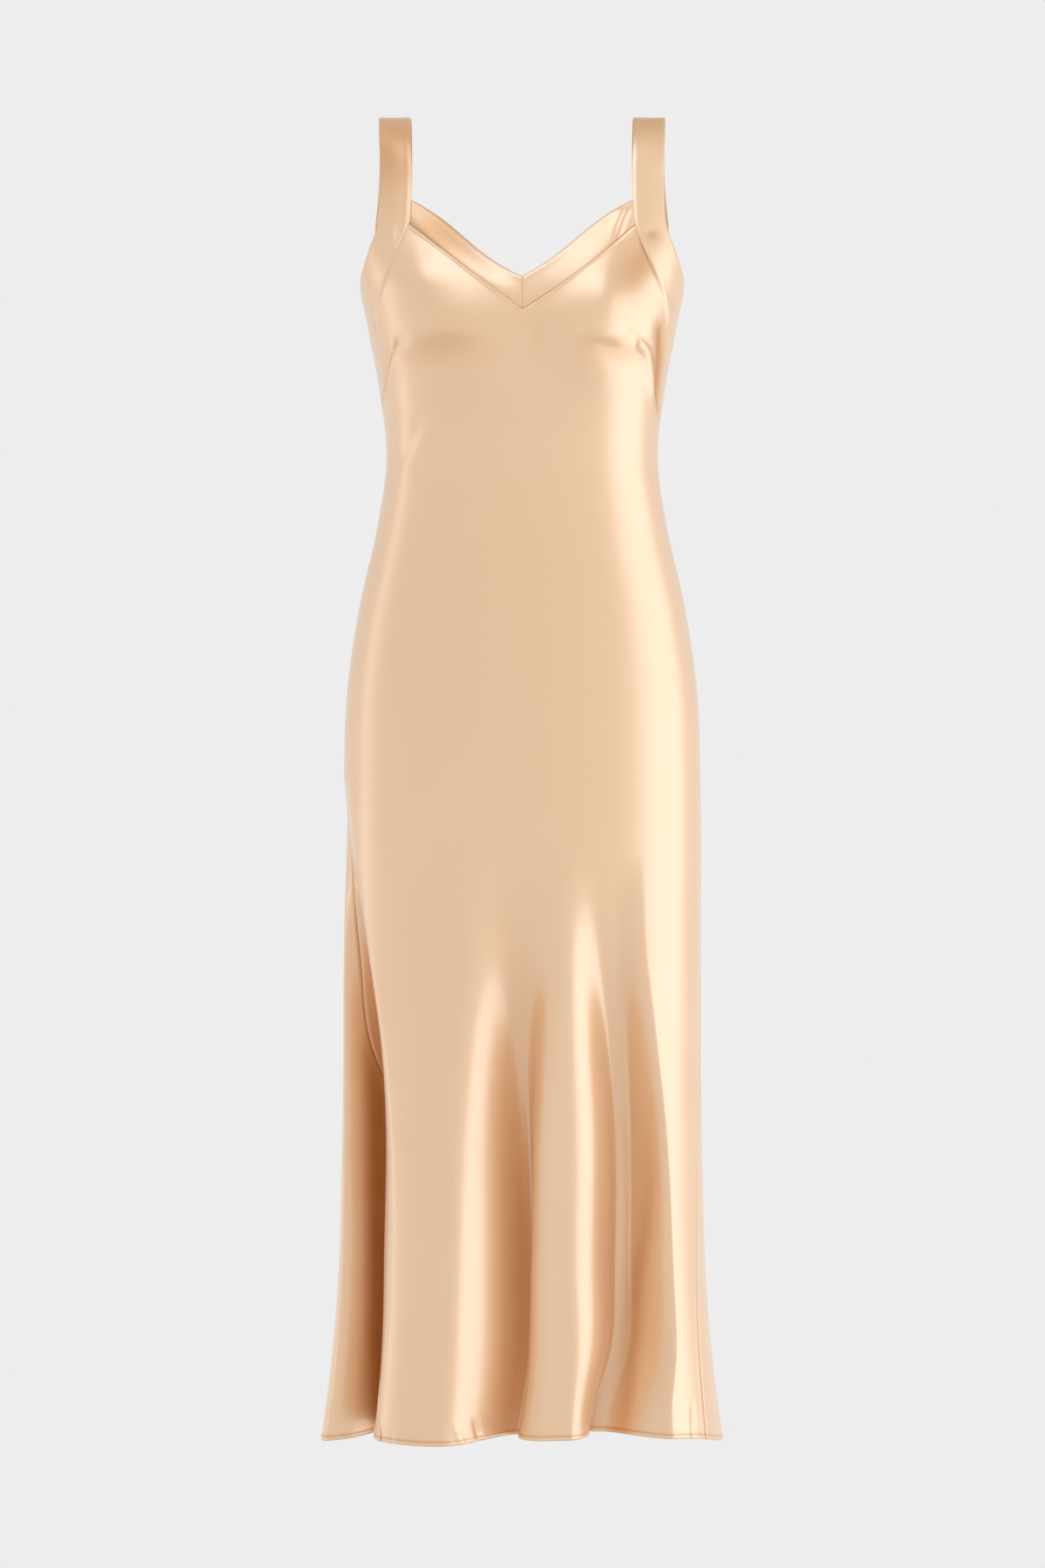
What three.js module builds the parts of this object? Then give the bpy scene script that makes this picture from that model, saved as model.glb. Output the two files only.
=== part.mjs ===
// Bias-cut midi slip dress in its worn, hollow form.
// Millimetres, +Z up, front facing -Y, origin midway between the strap tops.
// Angles are degrees round the body: 0 centre front, 90 at +X, 180 centre back.
import * as THREE from 'three';

// Cloth and seams
const WALL = 1.2; // thickness of the cloth wall
const SEAM_GAP = 0.3; // clearance between two pieces at a seam

// Lengths
const HEM = -1222; // hem level at centre front
const SIDE_DROP = 18; // the hem hangs this much lower at the sides
const SHOULDER_ARCH = 62; // height in which a strap bends over the shoulder
const NECK = {
  pointZ: -193.8, // neck seam at centre front
  edgePointZ: -163.5, // free neck edge at centre front
  seamSag: { left: 2, right: 6 }, // the seam bows down between its ends
  edgeSway: 2.8, // the free edge lifts by the strap and dips by the centre
};
const BACK_NECK = { pointZ: -232, edgePointZ: -204, sag: 6 };

// Grid of the walls
const ROWS = 34;
const NECK_SEGMENTS = 14;
const BAND_CELLS = 3;
const MEAN_TOP = -160; // middle height of a panel's top border

// Body sections: half width, depth to the front and to the back, squareness
const SECTIONS = [
  { z: -1240, half: 188.6, front: 148, back: 158, square: 2.1 },
  { z: -1180, half: 180.6, front: 140, back: 152, square: 2.1 },
  { z: -1118, half: 174.6, front: 134, back: 147, square: 2.1 },
  { z: -954, half: 169.0, front: 124, back: 136, square: 2.1 },
  { z: -790, half: 167.6, front: 117, back: 127, square: 2.1 },
  { z: -626, half: 167.4, front: 112, back: 121, square: 2.1 },
  { z: -544, half: 164.8, front: 109, back: 116, square: 2.1 },
  { z: -462, half: 153.2, front: 104, back: 104, square: 2.15 },
  { z: -380, half: 135.0, front: 99, back: 90, square: 2.2 },
  { z: -319, half: 127.0, front: 100, back: 85, square: 2.3 },
  { z: -257, half: 133.6, front: 109, back: 92, square: 2.4 },
  { z: -205, half: 143.0, front: 113, back: 98, square: 2.5 },
  { z: -175, half: 149.2, front: 108, back: 98.5, square: 2.5 },
  { z: -150, half: 154.6, front: 101, back: 98, square: 2.5 },
  { z: -100, half: 153.0, front: 82, back: 91, square: 2.5 },
  { z: -60, half: 149.0, front: 66, back: 80, square: 2.5 },
  { z: 0, half: 147.0, front: 46, back: 58, square: 2.5 },
];

// Fullness that the two bust darts give
const BUST = { x: 66, z: -212, across: 40, above: 52, below: 44, fullness: 11 };

// Skirt folds from the hem up: middle angle, reach to each side in degrees, depth (negative for a ridge),
// sideways skew, and how far each lip leans over. A floor is the share of that reach at full depth.
// With a fan of 1 each point moves square to the oval there, with 0 all move square to the fold's middle.
const FOLDS = [
  { name: 'left_side', floorLeft: 0.2, floorRight: 0.18, fan: 0.3, rows: [
    { z: -1240, at: -63.5, left: 15.5, right: 22, depth: 72, skew: -32, lipLeft: 9, lipRight: 10 },
    { z: -1180, at: -62, left: 15.5, right: 20.5, depth: 78, skew: -36, lipLeft: 9, lipRight: 9 },
    { z: -1060, at: -61.5, left: 16.5, right: 20.5, depth: 78, skew: -38, lipLeft: 8, lipRight: 16 },
    { z: -940, at: -62.5, left: 18, right: 19, depth: 73, skew: -35, lipLeft: 4, lipRight: 10 },
    { z: -860, at: -66, left: 18, right: 18, depth: 56, skew: -25, lipLeft: 2, lipRight: 5 },
    { z: -780, at: -73, left: 18, right: 18, depth: 32, skew: -12, lipLeft: 0, lipRight: 4 },
    { z: -700, at: -81, left: 18, right: 18, depth: 11, skew: -3, lipLeft: 0, lipRight: 0 },
    { z: -620, at: -88, left: 18, right: 18, depth: 0, skew: 0, lipLeft: 0, lipRight: 0 },
  ] },
  { name: 'left_crest', rows: [
    { z: -1240, at: -29, left: 24, right: 22, depth: -14, skew: 0, lipLeft: 0, lipRight: 0 },
    { z: -1060, at: -29, left: 24, right: 22, depth: -11, skew: 0, lipLeft: 0, lipRight: 0 },
    { z: -900, at: -28, left: 24, right: 22, depth: -5, skew: 0, lipLeft: 0, lipRight: 0 },
    { z: -760, at: -26, left: 24, right: 22, depth: 0, skew: 0, lipLeft: 0, lipRight: 0 },
  ] },
  { name: 'front_dip', rows: [
    { z: -1240, at: 9, left: 30, right: 38, depth: 27, skew: 0, lipLeft: 0, lipRight: 0 },
    { z: -1060, at: 9, left: 30, right: 38, depth: 22, skew: 0, lipLeft: 0, lipRight: 0 },
    { z: -900, at: 9, left: 30, right: 38, depth: 11, skew: 0, lipLeft: 0, lipRight: 0 },
    { z: -720, at: 9, left: 30, right: 38, depth: 0, skew: 0, lipLeft: 0, lipRight: 0 },
  ] },
  { name: 'front_left', floorLeft: 0.1, rows: [
    { z: -1240, at: -6.5, left: 15, right: 11.5, depth: 46, skew: 8, lipLeft: 0, lipRight: 9 },
    { z: -1180, at: -5.5, left: 15.5, right: 12.5, depth: 50, skew: 16, lipLeft: 0, lipRight: 8 },
    { z: -1060, at: -4.5, left: 16, right: 13, depth: 52, skew: 19, lipLeft: 0, lipRight: 8 },
    { z: -940, at: -4, left: 16, right: 13, depth: 44, skew: 15, lipLeft: 0, lipRight: 5 },
    { z: -860, at: -3, left: 15.5, right: 14, depth: 31, skew: 9, lipLeft: 0, lipRight: 2 },
    { z: -780, at: -1, left: 16, right: 15, depth: 15, skew: 2, lipLeft: 0, lipRight: 0 },
    { z: -660, at: -1, left: 18, right: 18, depth: 0, skew: 0, lipLeft: 0, lipRight: 0 },
  ] },
  { name: 'front_right', floorLeft: 0.18, floorRight: 0.3, powerRight: 0.9, rows: [
    { z: -1240, at: 24.5, left: 11.5, right: 23, depth: 46, skew: 2, lipLeft: 8, lipRight: 0 },
    { z: -1200, at: 27.5, left: 13.5, right: 20.5, depth: 50, skew: 8, lipLeft: 6, lipRight: 0 },
    { z: -1150, at: 35, left: 20, right: 17.5, depth: 53, skew: 15, lipLeft: 1, lipRight: 0 },
    { z: -1060, at: 38, left: 24, right: 15.5, depth: 54, skew: 18, lipLeft: 0, lipRight: 0 },
    { z: -940, at: 37, left: 23, right: 14, depth: 44, skew: 14, lipLeft: 0, lipRight: 0 },
    { z: -860, at: 33.5, left: 20.5, right: 13, depth: 30, skew: 8, lipLeft: 0, lipRight: 0 },
    { z: -780, at: 29, left: 17, right: 13, depth: 14, skew: 3, lipLeft: 0, lipRight: 0 },
    { z: -690, at: 26, left: 15, right: 15, depth: 0, skew: 0, lipLeft: 0, lipRight: 0 },
  ] },
  { name: 'side_right', rows: [
    { z: -1240, at: 108, left: 16, right: 16, depth: 32, skew: 4, lipLeft: 4, lipRight: 4 },
    { z: -1040, at: 106, left: 16, right: 16, depth: 17, skew: 2, lipLeft: 2, lipRight: 2 },
    { z: -830, at: 104, left: 16, right: 16, depth: 0, skew: 0, lipLeft: 0, lipRight: 0 },
  ] },
  { name: 'back_right', rows: [
    { z: -1240, at: 143, left: 17, right: 17, depth: 50, skew: -5, lipLeft: 6, lipRight: 6 },
    { z: -1000, at: 142, left: 17, right: 17, depth: 30, skew: -3, lipLeft: 3, lipRight: 3 },
    { z: -880, at: 141, left: 17, right: 17, depth: 13, skew: -1, lipLeft: 1, lipRight: 1 },
    { z: -760, at: 140, left: 17, right: 17, depth: 0, skew: 0, lipLeft: 0, lipRight: 0 },
  ] },
  { name: 'back_centre', rows: [
    { z: -1240, at: 181, left: 16, right: 16, depth: 42, skew: 4, lipLeft: 5, lipRight: 5 },
    { z: -1000, at: 182, left: 16, right: 16, depth: 20, skew: 2, lipLeft: 2, lipRight: 2 },
    { z: -800, at: 184, left: 16, right: 16, depth: 0, skew: 0, lipLeft: 0, lipRight: 0 },
  ] },
  { name: 'back_left', rows: [
    { z: -1240, at: 218, left: 17, right: 17, depth: 52, skew: 5, lipLeft: 6, lipRight: 6 },
    { z: -1000, at: 219, left: 17, right: 17, depth: 31, skew: 3, lipLeft: 3, lipRight: 3 },
    { z: -870, at: 220, left: 17, right: 17, depth: 14, skew: 1, lipLeft: 1, lipRight: 1 },
    { z: -740, at: 221, left: 17, right: 17, depth: 0, skew: 0, lipLeft: 0, lipRight: 0 },
  ] },
  { name: 'side_left', rows: [
    { z: -1240, at: 254, left: 15, right: 15, depth: 28, skew: -4, lipLeft: 4, lipRight: 4 },
    { z: -1050, at: 257, left: 15, right: 15, depth: 13, skew: -2, lipLeft: 2, lipRight: 2 },
    { z: -850, at: 259, left: 15, right: 15, depth: 0, skew: 0, lipLeft: 0, lipRight: 0 },
  ] },
];

// Side seams swing forward as the bias skirt hangs
const SIDE_SEAMS = [
  { z: -1240, left: -38, right: 64 },
  { z: -1180, left: -46, right: 66 },
  { z: -1120, left: -53.5, right: 68 },
  { z: -1060, left: -59.5, right: 71 },
  { z: -1000, left: -63.8, right: 74 },
  { z: -940, left: -68.5, right: 77.5 },
  { z: -870, left: -76, right: 82 },
  { z: -790, left: -82.8, right: 87 },
  { z: -740, left: -87.3, right: 88.7 },
  { z: -690, left: -90, right: 90 },
  { z: 0, left: -90, right: 90 },
];

// Shoulder-and-armhole band, from the side seam up to the shoulder: seam edge
// and free edge, as degrees from centre front and from centre back
const FRONT_BAND = [
  { name: 'side seam', seam: 90, seamZ: -211, edge: 90, edgeZ: -172 },
  { name: 'under arm', seam: 78.6, seamZ: -208.5, edge: 84, edgeZ: -163 },
  { name: 'under arm', seam: 68, seamZ: -199, edge: 77.5, edgeZ: -155.5 },
  { name: 'chest', seam: 60.8, seamZ: -183.5, edge: 72, edgeZ: -149 },
  { name: 'chest', seam: 54.5, seamZ: -168.5, edge: 67, edgeZ: -140.5 },
  { name: 'chest', seam: 48.5, seamZ: -155.3, edge: 62.6, edgeZ: -128.5 },
  { name: 'chest', seam: 43.9, seamZ: -141, edge: 58.8, edgeZ: -116.5 },
  { name: 'chest', seam: 40, seamZ: -125, edge: 56.9, edgeZ: -107 },
  { name: 'neck seam', seam: 37.77, seamZ: -110, edge: 56.6, edgeZ: -98 },
  { name: 'neck edge', seam: 37.7, seamZ: -87, edge: 57.4, edgeZ: -84 },
];
const BACK_BAND = [
  { name: 'side seam', seam: 90, seamZ: -211, edge: 90, edgeZ: -172 },
  { name: 'under arm', seam: 79, seamZ: -207, edge: 85, edgeZ: -166 },
  { name: 'under arm', seam: 69, seamZ: -197, edge: 80, edgeZ: -159.5 },
  { name: 'shoulder blade', seam: 61, seamZ: -184, edge: 75.5, edgeZ: -151.5 },
  { name: 'shoulder blade', seam: 54, seamZ: -170, edge: 71.5, edgeZ: -142.5 },
  { name: 'shoulder blade', seam: 48.5, seamZ: -156, edge: 68, edgeZ: -132 },
  { name: 'shoulder blade', seam: 44.5, seamZ: -143, edge: 65.6, edgeZ: -122.5 },
  { name: 'shoulder blade', seam: 42, seamZ: -131, edge: 64.4, edgeZ: -114 },
  { name: 'neck seam', seam: 41.05, seamZ: -118, edge: 64, edgeZ: -106 },
  { name: 'neck edge', seam: 41.2, seamZ: -92, edge: 64, edgeZ: -90 },
];
const SHOULDER = { seam: 40.7, edge: 63.4 };
const ARCH_STEPS = 5;

const rad = (degrees) => (degrees * Math.PI) / 180;
const deg = (radians) => (radians * 180) / Math.PI;
const clamp = (v, lo, hi) => Math.min(hi, Math.max(lo, v));
const lerp = (a, b, t) => a + (b - a) * t;
const ease = (t) => t * t * (3 - 2 * t);

// Smooth curve through one column of a table that rises in z
function column(table, key) {
  const z = table.map((row) => row.z);
  const v = table.map((row) => row[key]);
  const last = z.length - 1;
  const slope = v.map((value, i) => {
    if (i === 0) return (v[1] - v[0]) / (z[1] - z[0]);
    if (i === last) return (v[last] - v[last - 1]) / (z[last] - z[last - 1]);
    const below = z[i] - z[i - 1];
    const above = z[i + 1] - z[i];
    const rise = below * below * v[i + 1] + (above * above - below * below) * value - above * above * v[i - 1];
    return rise / (below * above * (below + above));
  });
  return (level) => {
    const at = clamp(level, z[0], z[last]);
    let i = 0;
    while (i < last - 1 && at >= z[i + 1]) i += 1;
    const h = z[i + 1] - z[i];
    const t = (at - z[i]) / h;
    const t2 = t * t;
    const t3 = t2 * t;
    return (2 * t3 - 3 * t2 + 1) * v[i] + (t3 - 2 * t2 + t) * h * slope[i]
      + (3 * t2 - 2 * t3) * v[i + 1] + (t3 - t2) * h * slope[i + 1];
  };
}

const halfWidth = column(SECTIONS, 'half');
const frontDepth = column(SECTIONS, 'front');
const backDepth = column(SECTIONS, 'back');
const squareness = column(SECTIONS, 'square');
const leftSeam = column(SIDE_SEAMS, 'left');
const rightSeam = column(SIDE_SEAMS, 'right');
const foldCurves = FOLDS.map(({ rows, fan = 1, floorLeft = 0, floorRight = 0, powerLeft = 1, powerRight = 1 }) => ({
  ...Object.fromEntries(Object.keys(rows[0]).map((key) => [key, column(rows, key)])),
  leftFlank: { floor: floorLeft, power: powerLeft },
  rightFlank: { floor: floorRight, power: powerRight },
  top: rows[rows.length - 1].z,
  fan,
}));
const hemLevel = (angle) => HEM - SIDE_DROP * Math.sin(rad(angle)) ** 8;

function bustFullness(x, z) {
  const reach = z > BUST.z ? BUST.above : BUST.below;
  const across = (Math.abs(x) - BUST.x) / BUST.across;
  return BUST.fullness * Math.exp(-(across ** 2) - ((z - BUST.z) / reach) ** 2);
}

// Oval section of the worn dress, before its folds
function oval(angle, z) {
  const s = Math.sin(rad(angle));
  const c = Math.cos(rad(angle));
  const power = 2 / squareness(z);
  const x = halfWidth(z) * Math.sign(s) * Math.abs(s) ** power;
  const depth = c > 0 ? frontDepth(z) : backDepth(z);
  let y = -depth * Math.sign(c) * Math.abs(c) ** power;
  if (c > 0) y -= bustFullness(x, z) * clamp(3 * c, 0, 1);
  const bend = clamp((z + SHOULDER_ARCH) / SHOULDER_ARCH, 0, 1);
  return [x, y * Math.sqrt(1 - bend ** 2.5)];
}

// Unit direction along the oval, towards growing angles
function tangent(angle, z) {
  const [x1, y1] = oval(angle - 0.5, z);
  const [x2, y2] = oval(angle + 0.5, z);
  const length = Math.hypot(x2 - x1, y2 - y1) || 1;
  return [(x2 - x1) / length, (y2 - y1) / length];
}

// Point of the cloth: the oval, pushed in and sideways by the folds
function cloth(angle, z) {
  let [x, y] = oval(angle, z);
  for (const fold of foldCurves) {
    if (z >= fold.top) continue;
    const away = ((((angle - fold.at(z) + 180) % 360) + 360) % 360) - 180;
    const q = away / (away < 0 ? fold.left(z) : fold.right(z));
    if (Math.abs(q) >= 1) continue;
    const { floor, power } = away < 0 ? fold.leftFlank : fold.rightFlank;
    const flank = clamp((Math.abs(q) - floor) / (1 - floor), 0, 1);
    const bell = 0.5 * (1 + Math.cos(Math.PI * flank));
    const lip = Math.sign(q) * Math.sin(Math.PI * Math.abs(q) ** 1.4) ** 2;
    const push = fold.depth(z) * bell ** power;
    const along = fold.skew(z) * bell - lip * (away < 0 ? fold.lipLeft(z) : fold.lipRight(z));
    const [tx, ty] = tangent(angle - (1 - fold.fan) * away, z);
    x += tx * along - ty * push;
    y += ty * along + tx * push;
  }
  return new THREE.Vector3(x, y, z);
}

// Cloth point with the way it faces
function node(angle, z) {
  const point = cloth(angle, z);
  if (z > -0.5) return { point, facing: new THREE.Vector3(0, 0, 1) };
  const around = cloth(angle + 0.3, z).sub(cloth(angle - 0.3, z));
  const up = cloth(angle, z + 0.25).sub(cloth(angle, z - 0.25));
  return { point, facing: around.cross(up).normalize() };
}

// Closed wall from a grid of nodes; a seam border keeps its clearance
function wall(name, grid, seams, colour) {
  const last = grid.length - 1;
  const top = grid[0].length - 1;
  const loop = [];
  for (let i = 0; i < last; i += 1) loop.push([i, 0, seams.bottom]);
  for (let j = 0; j < top; j += 1) loop.push([last, j, seams.right]);
  for (let i = last; i > 0; i -= 1) loop.push([i, top, seams.top]);
  for (let j = top; j > 0; j -= 1) loop.push([0, j, seams.left]);
  const inward = loop.map(([i, j], k) => {
    const [ni, nj] = loop[(k + 1) % loop.length];
    return grid[ni][nj].point.clone().sub(grid[i][j].point);
  });
  const gap = loop.map(([i, j, kind]) => {
    const seam = typeof kind === 'function' ? kind(i, j) : kind;
    return seam ? SEAM_GAP / 2 : 0;
  });
  const moves = loop.map(([i, j], k) => {
    const before = (k + loop.length - 1) % loop.length;
    const facing = grid[i][j].facing;
    const m1 = facing.clone().cross(inward[before]).normalize();
    const m2 = facing.clone().cross(inward[k]).normalize();
    const c = m1.dot(m2);
    if (c > 0.97) return m1.add(m2).normalize().multiplyScalar((gap[before] + gap[k]) / 2);
    const a = (gap[before] - gap[k] * c) / (1 - c * c);
    const b = (gap[k] - gap[before] * c) / (1 - c * c);
    return m1.multiplyScalar(a).add(m2.multiplyScalar(b));
  });
  const points = grid.map((line) => line.map((cell) => cell.point.clone()));
  loop.forEach(([i, j], k) => points[i][j].add(moves[k]));
  const positions = [];
  const index = (i, j, layer) => 2 * (i * (top + 1) + j) + layer;
  grid.forEach((line, i) => line.forEach((cell, j) => {
    for (const side of [1, -1]) {
      const p = points[i][j].clone().addScaledVector(cell.facing, (side * WALL) / 2);
      positions.push(p.x, p.y, p.z);
    }
  }));
  const faces = [];
  const quad = (a, b, c, d) => faces.push(a, b, c, a, c, d);
  for (let i = 0; i < last; i += 1) {
    for (let j = 0; j < top; j += 1) {
      quad(index(i, j, 0), index(i + 1, j, 0), index(i + 1, j + 1, 0), index(i, j + 1, 0));
      quad(index(i, j, 1), index(i, j + 1, 1), index(i + 1, j + 1, 1), index(i + 1, j, 1));
    }
  }
  loop.forEach(([i, j], k) => {
    const [ni, nj] = loop[(k + 1) % loop.length];
    const rim = [index(i, j, 0), index(i, j, 1), index(ni, nj, 1), index(ni, nj, 0)];
    // Two pieces meet as bottom to top or right to left, so both split their rims alike
    if (k < last + top) quad(...rim);
    else quad(rim[1], rim[2], rim[3], rim[0]);
  });
  const geometry = new THREE.BufferGeometry();
  geometry.setAttribute('position', new THREE.Float32BufferAttribute(positions, 3));
  geometry.setIndex(faces);
  geometry.computeVertexNormals();
  const mesh = new THREE.Mesh(geometry, new THREE.MeshStandardMaterial({ color: colour, roughness: 0.4 }));
  mesh.name = name;
  return mesh;
}

// Sideways reach of the section at an angle, and the angle that has that reach
const reachAt = (angle, z) => halfWidth(z) * Math.sin(rad(angle)) ** (2 / squareness(z));
const angleAt = (x, z) => deg(Math.asin(clamp(x / halfWidth(z), 0, 1) ** (squareness(z) / 2)));

// Neck seam or free neck edge from a row of the armhole band to the centre, as [angle, z] rows
function neckLine(start, pointZ, sag, sway = 0) {
  const reach = reachAt(start.seam, start.seamZ);
  return Array.from({ length: NECK_SEGMENTS + 1 }, (_, k) => {
    const t = k / NECK_SEGMENTS;
    const z = lerp(start.seamZ, pointZ, t) - sag * Math.sin(Math.PI * t) + sway * Math.sin(2 * Math.PI * t);
    if (k === 0) return [start.seam, start.seamZ];
    return [k === NECK_SEGMENTS ? 0 : angleAt(reach * (1 - t), z), z];
  });
}

const seamRows = (band) => band.slice(0, -1).map((row) => [row.seam, row.seamZ]);
const neckSeamRow = (band) => band[band.length - 2];
const neckEdgeRow = (band) => band[band.length - 1];
const frontNeck = (side) => neckLine(neckSeamRow(FRONT_BAND), NECK.pointZ, NECK.seamSag[side]);
const backNeck = () => neckLine(neckSeamRow(BACK_BAND), BACK_NECK.pointZ, BACK_NECK.sag);

// Top border of a panel from its left side seam to its right one
function topBorder(band, leftNeck, rightNeck) {
  const arm = seamRows(band);
  const negative = ([angle, z]) => [-angle, z];
  return [
    ...arm.map(negative),
    ...leftNeck.slice(1).map(negative),
    ...rightNeck.slice(1, -1).reverse(),
    ...[...arm].reverse(),
  ];
}

// Shares that spread a panel's columns over one level, closer together where the cloth turns
function columnShares(level, from, to, count) {
  const fine = 500;
  const TURN_WEIGHT = 20;
  const at = (k) => cloth(lerp(from, to, k / fine), level);
  const totals = [0];
  let before = at(0);
  let heading = null;
  for (let k = 1; k <= fine; k += 1) {
    const here = at(k);
    const step = here.clone().sub(before);
    const turn = heading ? step.angleTo(heading) : 0;
    totals.push(totals[k - 1] + step.length() + TURN_WEIGHT * turn);
    before = here;
    heading = step;
  }
  return Array.from({ length: count + 1 }, (_, i) => {
    const want = (totals[fine] * i) / count;
    let k = 0;
    while (k < fine - 1 && totals[k + 1] < want) k += 1;
    return clamp((k + (want - totals[k]) / (totals[k + 1] - totals[k])) / fine, 0, 1);
  });
}

// Panel grid: columns from the hem up to the top border
function panelGrid(border, from, to) {
  const count = border.length - 1;
  const columns = border.map(() => []);
  for (let j = 0; j <= ROWS; j += 1) {
    const v = j / ROWS;
    const g = v - (0.3 * Math.sin(2 * Math.PI * v)) / (2 * Math.PI);
    const level = lerp(HEM, MEAN_TOP, g);
    const shares = columnShares(level, from(level), to(level), count);
    border.forEach(([topAngle, topZ], i) => {
      const z = lerp(hemLevel(lerp(from(HEM), to(HEM), shares[i])), topZ, g);
      const pull = ease(clamp((z + 560) / (topZ + 560), 0, 1));
      columns[i].push(node(lerp(lerp(from(z), to(z), shares[i]), topAngle, pull), z));
    });
  }
  return columns;
}

// Neck band grid: across from the seam to the free edge
function neckGrid(seamLine, edgeLine, place) {
  return seamLine.map(([angle, z], k) => Array.from({ length: BAND_CELLS + 1 }, (_, c) => {
    const t = c / BAND_CELLS;
    return node(place(lerp(angle, edgeLine[k][0], t)), lerp(z, edgeLine[k][1], t));
  }));
}

// Armhole band grid: from the side seam up the front, over the shoulder, down the back
function armholeGrid(sign) {
  const strap = (band) => {
    const from = band[band.length - 1];
    const rows = [];
    for (let k = 1; k < ARCH_STEPS; k += 1) {
      const z = -SHOULDER_ARCH * (1 - Math.sin((Math.PI / 2) * (k / ARCH_STEPS)));
      const t = (z - from.seamZ) / -from.seamZ;
      rows.push({ seam: lerp(from.seam, SHOULDER.seam, t), seamZ: z, edge: lerp(from.edge, SHOULDER.edge, t), edgeZ: z });
    }
    return rows;
  };
  const across = (row, place) => Array.from({ length: BAND_CELLS + 1 }, (_, c) => {
    const t = c / BAND_CELLS;
    return node(place(lerp(row.seam, row.edge, t)), lerp(row.seamZ, row.edgeZ, t));
  });
  const front = (angle) => sign * angle;
  const back = (angle) => 180 - sign * angle;
  const summit = { seam: SHOULDER.seam, seamZ: 0, edge: SHOULDER.edge, edgeZ: 0 };
  return [
    ...FRONT_BAND.map((row) => across(row, front)),
    ...strap(FRONT_BAND).map((row) => across(row, front)),
    across(summit, front),
    ...strap(BACK_BAND).reverse().map((row) => across(row, back)),
    ...[...BACK_BAND].reverse().map((row) => across(row, back)),
  ];
}

const flip = (grid) => [...grid].reverse();
const group = new THREE.Group();
group.name = 'slip_dress';
const PANEL_COLOUR = 0xe8c8a5;
const BAND_COLOUR = 0xdcb488;

// Panels
const frontBorder = topBorder(FRONT_BAND, frontNeck('left'), frontNeck('right'));
const backBorder = topBorder(BACK_BAND, backNeck(), backNeck()).map(([angle, z]) => [180 + angle, z]);
group.add(wall('front', panelGrid(frontBorder, leftSeam, rightSeam), {
  bottom: false, right: true, top: true, left: true,
}, PANEL_COLOUR));
group.add(wall('back', panelGrid(backBorder, rightSeam, (z) => 360 + leftSeam(z)), {
  bottom: false, right: true, top: true, left: true,
}, PANEL_COLOUR));

// Neck bands
const neckSeams = { bottom: true, right: true, top: false, left: true };
const frontEdge = neckLine(neckEdgeRow(FRONT_BAND), NECK.edgePointZ, 0, NECK.edgeSway);
const backEdge = neckLine(neckEdgeRow(BACK_BAND), BACK_NECK.edgePointZ, BACK_NECK.sag);
group.add(wall('neck_band_front_left', neckGrid(frontNeck('left'), frontEdge, (a) => -a), neckSeams, BAND_COLOUR));
group.add(wall('neck_band_front_right', flip(neckGrid(frontNeck('right'), frontEdge, (a) => a)), neckSeams, BAND_COLOUR));
group.add(wall('neck_band_back_right', neckGrid(backNeck(), backEdge, (a) => 180 - a), neckSeams, BAND_COLOUR));
group.add(wall('neck_band_back_left', flip(neckGrid(backNeck(), backEdge, (a) => 180 + a)), neckSeams, BAND_COLOUR));

// Armhole bands: the seam edge is free along the strap, between the two neck bands
const stations = armholeGrid(1).length - 1;
const neckTop = FRONT_BAND.length - 1;
const onSeam = (step) => step < neckTop || step >= stations - neckTop;
for (const [name, sign] of [['armhole_band_left', -1], ['armhole_band_right', 1]]) {
  const grid = armholeGrid(sign);
  const placed = sign < 0 ? grid : flip(grid);
  const step = (i) => (sign < 0 ? i : stations - 1 - i);
  group.add(wall(name, placed, {
    bottom: (i) => onSeam(step(i)), right: true, top: false, left: true,
  }, BAND_COLOUR));
}

export default group;
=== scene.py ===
"""Bias-cut midi slip dress in champagne satin, worn and hollow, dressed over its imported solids.

Sizes are millimetres in the frame of the solids (+Z up, front facing -Y), and metres once a mesh is made.
Angles are degrees round the body: 0 at the centre front, 90 at +X, 180 at the centre back.
"""

import logging
import math
from collections.abc import Sequence
from dataclasses import dataclass
from enum import Enum

import bpy
import numpy as np
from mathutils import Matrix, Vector


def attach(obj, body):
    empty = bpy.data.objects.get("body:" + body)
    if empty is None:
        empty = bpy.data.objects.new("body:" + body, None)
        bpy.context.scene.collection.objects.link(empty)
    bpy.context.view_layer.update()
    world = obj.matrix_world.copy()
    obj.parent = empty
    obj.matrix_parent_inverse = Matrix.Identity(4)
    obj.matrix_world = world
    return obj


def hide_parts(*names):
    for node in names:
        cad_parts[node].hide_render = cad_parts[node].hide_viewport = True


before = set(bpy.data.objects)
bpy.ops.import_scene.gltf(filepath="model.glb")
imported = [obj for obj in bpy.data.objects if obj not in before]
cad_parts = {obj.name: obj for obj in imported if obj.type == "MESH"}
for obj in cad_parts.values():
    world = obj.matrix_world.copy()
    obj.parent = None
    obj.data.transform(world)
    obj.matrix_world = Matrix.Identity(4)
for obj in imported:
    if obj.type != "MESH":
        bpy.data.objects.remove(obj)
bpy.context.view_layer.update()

LOG = logging.getLogger("slip_dress")
MM = 0.001
BODY = "root"

Array = np.ndarray


def lerp(start: Array, end: Array, share: Array) -> Array:
    """Blend start into end by share."""
    return start + (end - start) * share


def ease(share: Array) -> Array:
    """Smooth a share so that it starts and ends level, clamped to 0 and 1."""
    share = np.clip(share, 0.0, 1.0)
    return share * share * (3.0 - 2.0 * share)


def bump(distance: Array, width: float) -> Array:
    """Return a soft round hump of height 1 and this half width."""
    return np.exp(-((distance / width) ** 2))


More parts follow.
